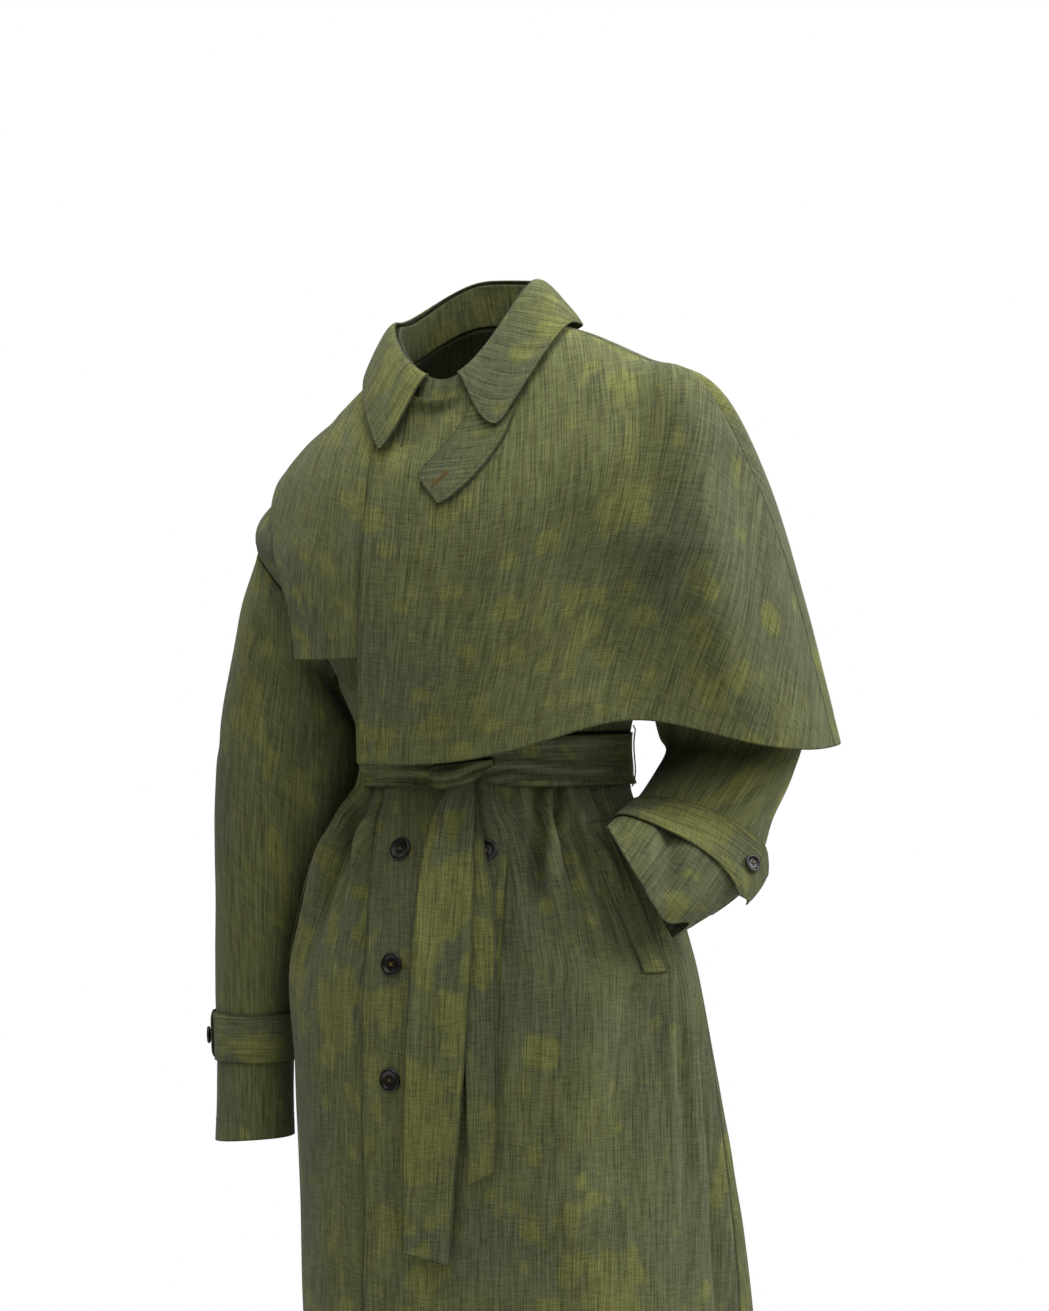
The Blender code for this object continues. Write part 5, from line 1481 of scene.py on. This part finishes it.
def cloth_finish():
    """Dyed slub canvas: a plain weave of uneven cotton and linen threads, matt, piece-dyed in blotches.

    The thick and thin warp threads show as long streaks down the cloth, the finer weft as short ones
    across, and the dye as soft yellow-green patches on grey-green that feather out along the warp.
    """
    made = bpy.data.materials.get("dyed_slub_canvas_cloth")
    if made:
        return made
    sizes, colours = bpy.context.scene.coat_sizes, bpy.context.scene.coat_colours
    made, tree, shader = new_finish("dyed_slub_canvas_cloth", 0.88)
    cut = add_node(tree, "ShaderNodeUVMap", uv_map="cut").outputs["UV"]
    width, length, blotch = sizes.streak_width, sizes.streak_length, sizes.blotch_size
    # Real threads are about 0.5 mm wide: the warp and weft are drawn about twice as wide, so that they show
    streaks = (
        Streak("warp", width, length, 1.0),
        Streak("slub", 2.8 * width, 1.4 * length, 1.0),
        Streak("weft", 0.25 * length, width, 1.0),
        Streak("brown", 1.6 * width, length, 1.0),
        Streak("cluster", 2.8 * blotch, 3.4 * blotch, 2.0),
        Streak("ground", 3.2 * blotch, 4.0 * blotch, 2.0),
    )
    noise = {}
    for streak in streaks:
        # Half way between two layers of the noise no grid of still points shows
        scale = (1 / streak.across, 1 / streak.along, 1.0)
        settings = {"Vector": cut, "Location": (0.0, 0.0, 0.5), "Scale": scale}
        spot = add_node(tree, "ShaderNodeMapping", settings).outputs["Vector"]
        settings = {"Vector": spot, "Scale": 1.0, "Detail": streak.detail, "Roughness": 0.55}
        noise[streak.name] = add_node(tree, "ShaderNodeTexNoise", settings).outputs["Fac"]

    smooth = {"interpolation_type": "SMOOTHSTEP"}
    # Each warp thread carries the dye a little further or less far than the next
    feather = {0: noise["slub"], 1: DYE_FEATHER, 2: cut}
    feathered = add_node(tree, "ShaderNodeVectorMath", feather, operation="MULTIPLY_ADD").outputs[0]
    scale = {"Vector": feathered, "Scale": (1 / blotch, DYE_DRAWN_OUT / blotch, 1.0)}
    spot = add_node(tree, "ShaderNodeMapping", scale).outputs["Vector"]
    settings = {"Vector": spot, "Scale": 1.0, "Detail": 1.0, "Roughness": 0.5, "Smoothness": 0.5}
    lobes = add_node(tree, "ShaderNodeTexVoronoi", settings, voronoi_dimensions="2D", feature="SMOOTH_F1")
    sockets = {0: lobes.outputs["Distance"], 1: -1.0}
    sunk = add_node(tree, "ShaderNodeMath", sockets, operation="MULTIPLY").outputs[0]
    sockets = {0: noise["cluster"], 1: DYE_CLUSTERING, 2: sunk}
    dyed = add_node(tree, "ShaderNodeMath", sockets, operation="MULTIPLY_ADD").outputs[0]
    limits = {"Value": dyed, "From Min": 0.80, "From Max": 1.10}
    patches = add_node(tree, "ShaderNodeMapRange", limits, **smooth).outputs["Result"]
    limits = {"Value": noise["ground"], "From Min": 0.36, "From Max": 0.62}
    warmth = add_node(tree, "ShaderNodeMapRange", limits, **smooth).outputs["Result"]
    limits = {"Value": noise["brown"], "From Min": 0.54, "From Max": 0.74, "To Max": 0.25}
    brown = add_node(tree, "ShaderNodeMapRange", limits, **smooth).outputs["Result"]
    tone = rgba(colours.grey_green)
    layers = ((warmth, colours.mid_green), (patches, colours.yellow_green), (brown, colours.brown_thread))
    for share, dye in layers:
        sockets = {0: share, 6: tone, 7: rgba(dye)}
        tone = add_node(tree, "ShaderNodeMix", sockets, data_type="RGBA").outputs[2]

    weave = 0.0
    for thread, share in WEAVE_SHARES.items():
        sockets = {0: noise[thread], 1: share, 2: weave}
        weave = add_node(tree, "ShaderNodeMath", sockets, operation="MULTIPLY_ADD").outputs[0]
    limits = {"Value": weave, "From Min": 1.4, "From Max": 2.8, "To Min": 0.46, "To Max": 1.54}
    shade = add_node(tree, "ShaderNodeMapRange", limits).outputs["Result"]
    # Painted shade: the cloth darkens within a few millimetres of each piece's edges, seams between panels
    # included, standing in for the thin contact shadow along an edge
    apart = add_node(tree, "ShaderNodeAttribute", attribute_name="edge_distance").outputs["Fac"]
    limits = {"Value": apart, "From Min": 0.6 * MM, "From Max": 2.6 * MM, "To Min": 0.5, "To Max": 1.0}
    painted_edge_shade = add_node(tree, "ShaderNodeMapRange", limits).outputs["Result"]
    shade = add_node(tree, "ShaderNodeMath", {0: shade, 1: painted_edge_shade}, operation="MULTIPLY").outputs[0]
    sockets = {"Hue": 0.5, "Value": shade, "Color": tone}
    shaded = add_node(tree, "ShaderNodeHueSaturation", sockets).outputs["Color"]
    tree.links.new(shaded, shader.inputs["Base Color"])
    bump = {"Height": weave, "Strength": 0.2, "Distance": 0.8 * MM}
    tree.links.new(add_node(tree, "ShaderNodeBump", bump).outputs["Normal"], shader.inputs["Normal"])
    shader.inputs["Specular IOR Level"].default_value = 0.2
    shader.inputs["Sheen Weight"].default_value = 0.1
    shader.inputs["Sheen Roughness"].default_value = 0.5
    return made


def spun_thread(name, colour):
    """Spun polyester thread: matt, with the uneven light and dark of its fine plies."""
    made = bpy.data.materials.get(name)
    if made:
        return made
    made, tree, shader = new_finish(name, 0.6)
    place = add_node(tree, "ShaderNodeTexCoord").outputs["Object"]
    twist = {"Vector": place, "Scale": 1 / (PLY_SPACING * MM), "Detail": 1.0}
    plies = add_node(tree, "ShaderNodeTexNoise", twist).outputs["Fac"]
    dark = tuple(PLY_SHADE * part for part in colour)
    sockets = {0: plies, 6: rgba(dark), 7: rgba(colour)}
    tone = add_node(tree, "ShaderNodeMix", sockets, data_type="RGBA").outputs[2]
    tree.links.new(tone, shader.inputs["Base Color"])
    return made


def thread_finish():
    """The topstitching's thread, dyed to the cloth."""
    return spun_thread("spun_polyester_topstitch", bpy.context.scene.coat_colours.topstitch)


def buttonhole_finish():
    """The buttonholes' and buttons' thread, a yellow brown."""
    return spun_thread("spun_polyester_buttonhole", bpy.context.scene.coat_colours.buttonhole)


def horn_finish():
    """Dark horn: turned and polished, nearly black, with faint lighter grain and a satin shine."""
    made = bpy.data.materials.get("turned_dark_horn")
    if made:
        return made
    colours = bpy.context.scene.coat_colours
    made, tree, shader = new_finish("turned_dark_horn", 0.33)
    place = add_node(tree, "ShaderNodeTexCoord").outputs["Object"]
    layers = {"Vector": place, "Scale": HORN_LAYERS_PER_METRE}
    spot = add_node(tree, "ShaderNodeMapping", layers).outputs["Vector"]
    settings = {"Vector": spot, "Scale": 1.0, "Detail": 4.0, "Distortion": 1.2}
    grain = add_node(tree, "ShaderNodeTexNoise", settings).outputs["Fac"]
    share = {"Value": grain, "From Min": 0.45, "From Max": 0.75}
    streak = add_node(tree, "ShaderNodeMapRange", share).outputs["Result"]
    sockets = {0: streak, 6: rgba(colours.horn), 7: rgba(colours.horn_grain)}
    tone = add_node(tree, "ShaderNodeMix", sockets, data_type="RGBA").outputs[2]
    tree.links.new(tone, shader.inputs["Base Color"])
    worn = {"Value": grain, "To Min": 0.28, "To Max": 0.45}
    tree.links.new(add_node(tree, "ShaderNodeMapRange", worn).outputs["Result"], shader.inputs["Roughness"])
    return made


# Stage

def build_stage():
    """A pale floor, soft light from the right and above with weaker front and back lights, and the camera."""
    scene = bpy.context.scene
    across, away = Vector(VIEW_ACROSS), Vector(VIEW_AWAY)

    bm = bmesh.new()
    bmesh.ops.create_circle(bm, cap_ends=True, segments=FLOOR_SIDES, radius=FLOOR_RADIUS)
    mesh = bpy.data.meshes.new("floor")
    bm.to_mesh(mesh)
    bm.free()
    floor = bpy.data.objects.new("floor", mesh)
    floor.location.z = FLOOR_HEIGHT
    scene.collection.objects.link(floor)
    finish, _, shader = new_finish("painted_board", 0.8)
    shader.inputs["Base Color"].default_value = rgba(scene.coat_colours.floor)
    mesh.materials.append(finish)

    aim = Vector(LIGHT_AIM)
    for light in LIGHTS:
        lamp = bpy.data.lights.new(light.name, "AREA")
        lamp.size = light.size
        lamp.energy = light.power
        made = bpy.data.objects.new(light.name, lamp)
        made.location = across * light.across - away * light.away + Vector((0.0, 0.0, light.height))
        made.rotation_mode = "QUATERNION"
        made.rotation_quaternion = (aim - made.location).to_track_quat("-Z", "Y")
        scene.collection.objects.link(made)

    world = bpy.data.worlds.new("studio")
    world.use_nodes = True
    tree = world.node_tree
    white = (1.0, 1.0, 1.0, 1.0)
    backdrop = add_node(tree, "ShaderNodeBackground", {"Color": white, "Strength": 1.0})
    soft = tree.nodes["Background"]
    soft.inputs["Color"].default_value = white
    soft.inputs["Strength"].default_value = AMBIENT
    seen = add_node(tree, "ShaderNodeLightPath").outputs["Is Camera Ray"]
    mix = add_node(tree, "ShaderNodeMixShader", {0: seen, 1: soft.outputs[0], 2: backdrop.outputs[0]})
    tree.links.new(mix.outputs[0], tree.nodes["World Output"].inputs["Surface"])
    scene.world = world
    scene.view_settings.view_transform = "Standard"

    lens = bpy.data.cameras.new("camera")
    lens.sensor_width = SENSOR_WIDTH
    lens.lens = lens.sensor_width * CAMERA_AWAY / PHOTO_HEIGHT
    camera = bpy.data.objects.new("camera", lens)
    camera.location = across * CAMERA_ACROSS - away * CAMERA_AWAY + Vector((0.0, 0.0, CAMERA_HEIGHT))
    camera.rotation_mode = "QUATERNION"
    camera.rotation_quaternion = away.to_track_quat("-Z", "Y")
    scene.collection.objects.link(camera)
    scene.camera = camera


# Add-on

def length_property(name, description, default):
    """A length property, given in metres."""
    settings = {"default": default, "min": 0.0, "unit": "LENGTH"}
    return bpy.props.FloatProperty(name=name, description=description, **settings)


def colour_property(name, description, default):
    """A colour property, given as an sRGB hex code."""
    settings = {"default": linear(default), "subtype": "COLOR", "min": 0.0, "max": 1.0}
    return bpy.props.FloatVectorProperty(name=name, description=description, **settings)


class CoatSizes(bpy.types.PropertyGroup):
    """Sizes of the cloth, its thread and its sewing"""

    cloth_wall: length_property("Cloth", "Thickness of the coat's cloth", 1.5 * MM)
    collar_wall: length_property("Collar", "Thickness of the collar and the tab, which are double", 2.4 * MM)
    edge_inset: length_property("Edge stitch", "Distance of the topstitching from an edge", 5.7 * MM)
    stitch_pitch: length_property("Stitch pitch", "Distance from one stitch to the next", 3.6 * MM)
    stitch_length: length_property("Stitch length", "Length of a stitch on the cloth", 2.9 * MM)
    stitch_thickness: length_property("Stitch thread", "Thickness of the topstitching's thread", 0.55 * MM)
    streak_width: length_property("Streak width", "Width of a slub thread's streak", 1.1 * MM)
    streak_length: length_property("Streak length", "Length of a slub thread's streak", 40.0 * MM)
    blotch_size: length_property("Dye blotch", "Size of the dye's yellow-green patches", 43.0 * MM)
    front_button: length_property("Front button", "Diameter of the front buttons", FRONT_BUTTON_DIAMETER * MM)
    cuff_button: length_property("Cuff button", "Diameter of the cuff buttons", CUFF_BUTTON_DIAMETER * MM)
    crease_share: bpy.props.FloatProperty(
        name="Creases",
        description="Strength of the hand-placed creases",
        default=1.0,
        min=0.0,
        subtype="FACTOR",
    )


class CoatColours(bpy.types.PropertyGroup):
    """Colours of the cloth, thread, buttons and floor"""

    grey_green: colour_property("Grey green", "The cloth's cooler ground", "5a5f43")
    mid_green: colour_property("Mid green", "The cloth's warmer ground", "62663f")
    yellow_green: colour_property("Yellow green", "The dye's patches", "6e713f")
    brown_thread: colour_property("Brown thread", "Scattered brownish threads", "6b5c38")
    topstitch: colour_property("Topstitch", "The topstitching's thread", "6a6d4a")
    buttonhole: colour_property("Buttonhole", "The buttonholes' and buttons' thread", "80682a")
    horn: colour_property("Horn", "The buttons", "0f0d0b")
    horn_grain: colour_property("Horn grain", "Lighter grain in the buttons", "28211b")
    floor: colour_property("Floor", "The stage's floor", "efefec")


class COAT_OT_body(bpy.types.Operator):
    """Builds the two fronts and the back"""

    bl_idname = "coat.body"
    bl_label = "Fronts and back"

    def execute(self, context):
        build_body()
        return {"FINISHED"}


class COAT_OT_sleeves(bpy.types.Operator):
    """Builds the two sleeves"""

    bl_idname = "coat.sleeves"
    bl_label = "Sleeves"

    def execute(self, context):
        for side in ("left", "right"):
            build_sleeve(side)
        return {"FINISHED"}


class COAT_OT_cape(bpy.types.Operator):
    """Builds the cape's left front, its back and the right flap"""

    bl_idname = "coat.cape"
    bl_label = "Cape"

    def execute(self, context):
        build_cape()
        return {"FINISHED"}


class COAT_OT_collar(bpy.types.Operator):
    """Builds the collar, its stand and the throat tab"""

    bl_idname = "coat.collar"
    bl_label = "Collar and tab"

    def execute(self, context):
        build_collar()
        return {"FINISHED"}


class COAT_OT_belt(bpy.types.Operator):
    """Builds the tied belt and its loops"""

    bl_idname = "coat.belt"
    bl_label = "Belt"

    def execute(self, context):
        build_belt()
        return {"FINISHED"}


class COAT_OT_pockets(bpy.types.Operator):
    """Builds the pocket welts"""

    bl_idname = "coat.pockets"
    bl_label = "Pocket welts"

    def execute(self, context):
        build_pockets()
        return {"FINISHED"}


class COAT_OT_cuff_straps(bpy.types.Operator):
    """Builds the cuff straps"""

    bl_idname = "coat.cuff_straps"
    bl_label = "Cuff straps"

    def execute(self, context):
        build_cuff_straps()
        return {"FINISHED"}


class COAT_OT_buttons(bpy.types.Operator):
    """Builds the buttons, their thread and the buttonholes"""

    bl_idname = "coat.buttons"
    bl_label = "Buttons"

    def execute(self, context):
        build_buttons()
        return {"FINISHED"}


class COAT_OT_stage(bpy.types.Operator):
    """Sets up the floor, the lights and the camera"""

    bl_idname = "coat.stage"
    bl_label = "Stage"

    def execute(self, context):
        build_stage()
        return {"FINISHED"}


OPERATORS = (
    COAT_OT_stage,
    COAT_OT_body,
    COAT_OT_sleeves,
    COAT_OT_cape,
    COAT_OT_collar,
    COAT_OT_belt,
    COAT_OT_pockets,
    COAT_OT_cuff_straps,
    COAT_OT_buttons,
)


class COAT_PT_pieces(bpy.types.Panel):
    """Lists the coat's pieces, sizes and colours"""

    bl_label = "Cape trench coat"
    bl_space_type = "VIEW_3D"
    bl_region_type = "UI"
    bl_category = "Coat"

    def draw(self, context):
        for operator in OPERATORS:
            self.layout.operator(operator.bl_idname)
        for group in (context.scene.coat_sizes, context.scene.coat_colours):
            for name in group.__annotations__:
                self.layout.prop(group, name)


CLASSES = (CoatSizes, CoatColours, *OPERATORS, COAT_PT_pieces)


def register():
    """Registers the classes and gives the scene its sizes and colours."""
    for cls in CLASSES:
        bpy.utils.register_class(cls)
    bpy.types.Scene.coat_sizes = bpy.props.PointerProperty(type=CoatSizes)
    bpy.types.Scene.coat_colours = bpy.props.PointerProperty(type=CoatColours)


def unregister():
    """Takes back what register did."""
    del bpy.types.Scene.coat_colours
    del bpy.types.Scene.coat_sizes
    for cls in reversed(CLASSES):
        bpy.utils.unregister_class(cls)


def main():
    """Builds every piece in order."""
    register()
    for operator in OPERATORS:
        group, name = operator.bl_idname.split(".")
        getattr(getattr(bpy.ops, group), name)()


if __name__ == "__main__":
    main()
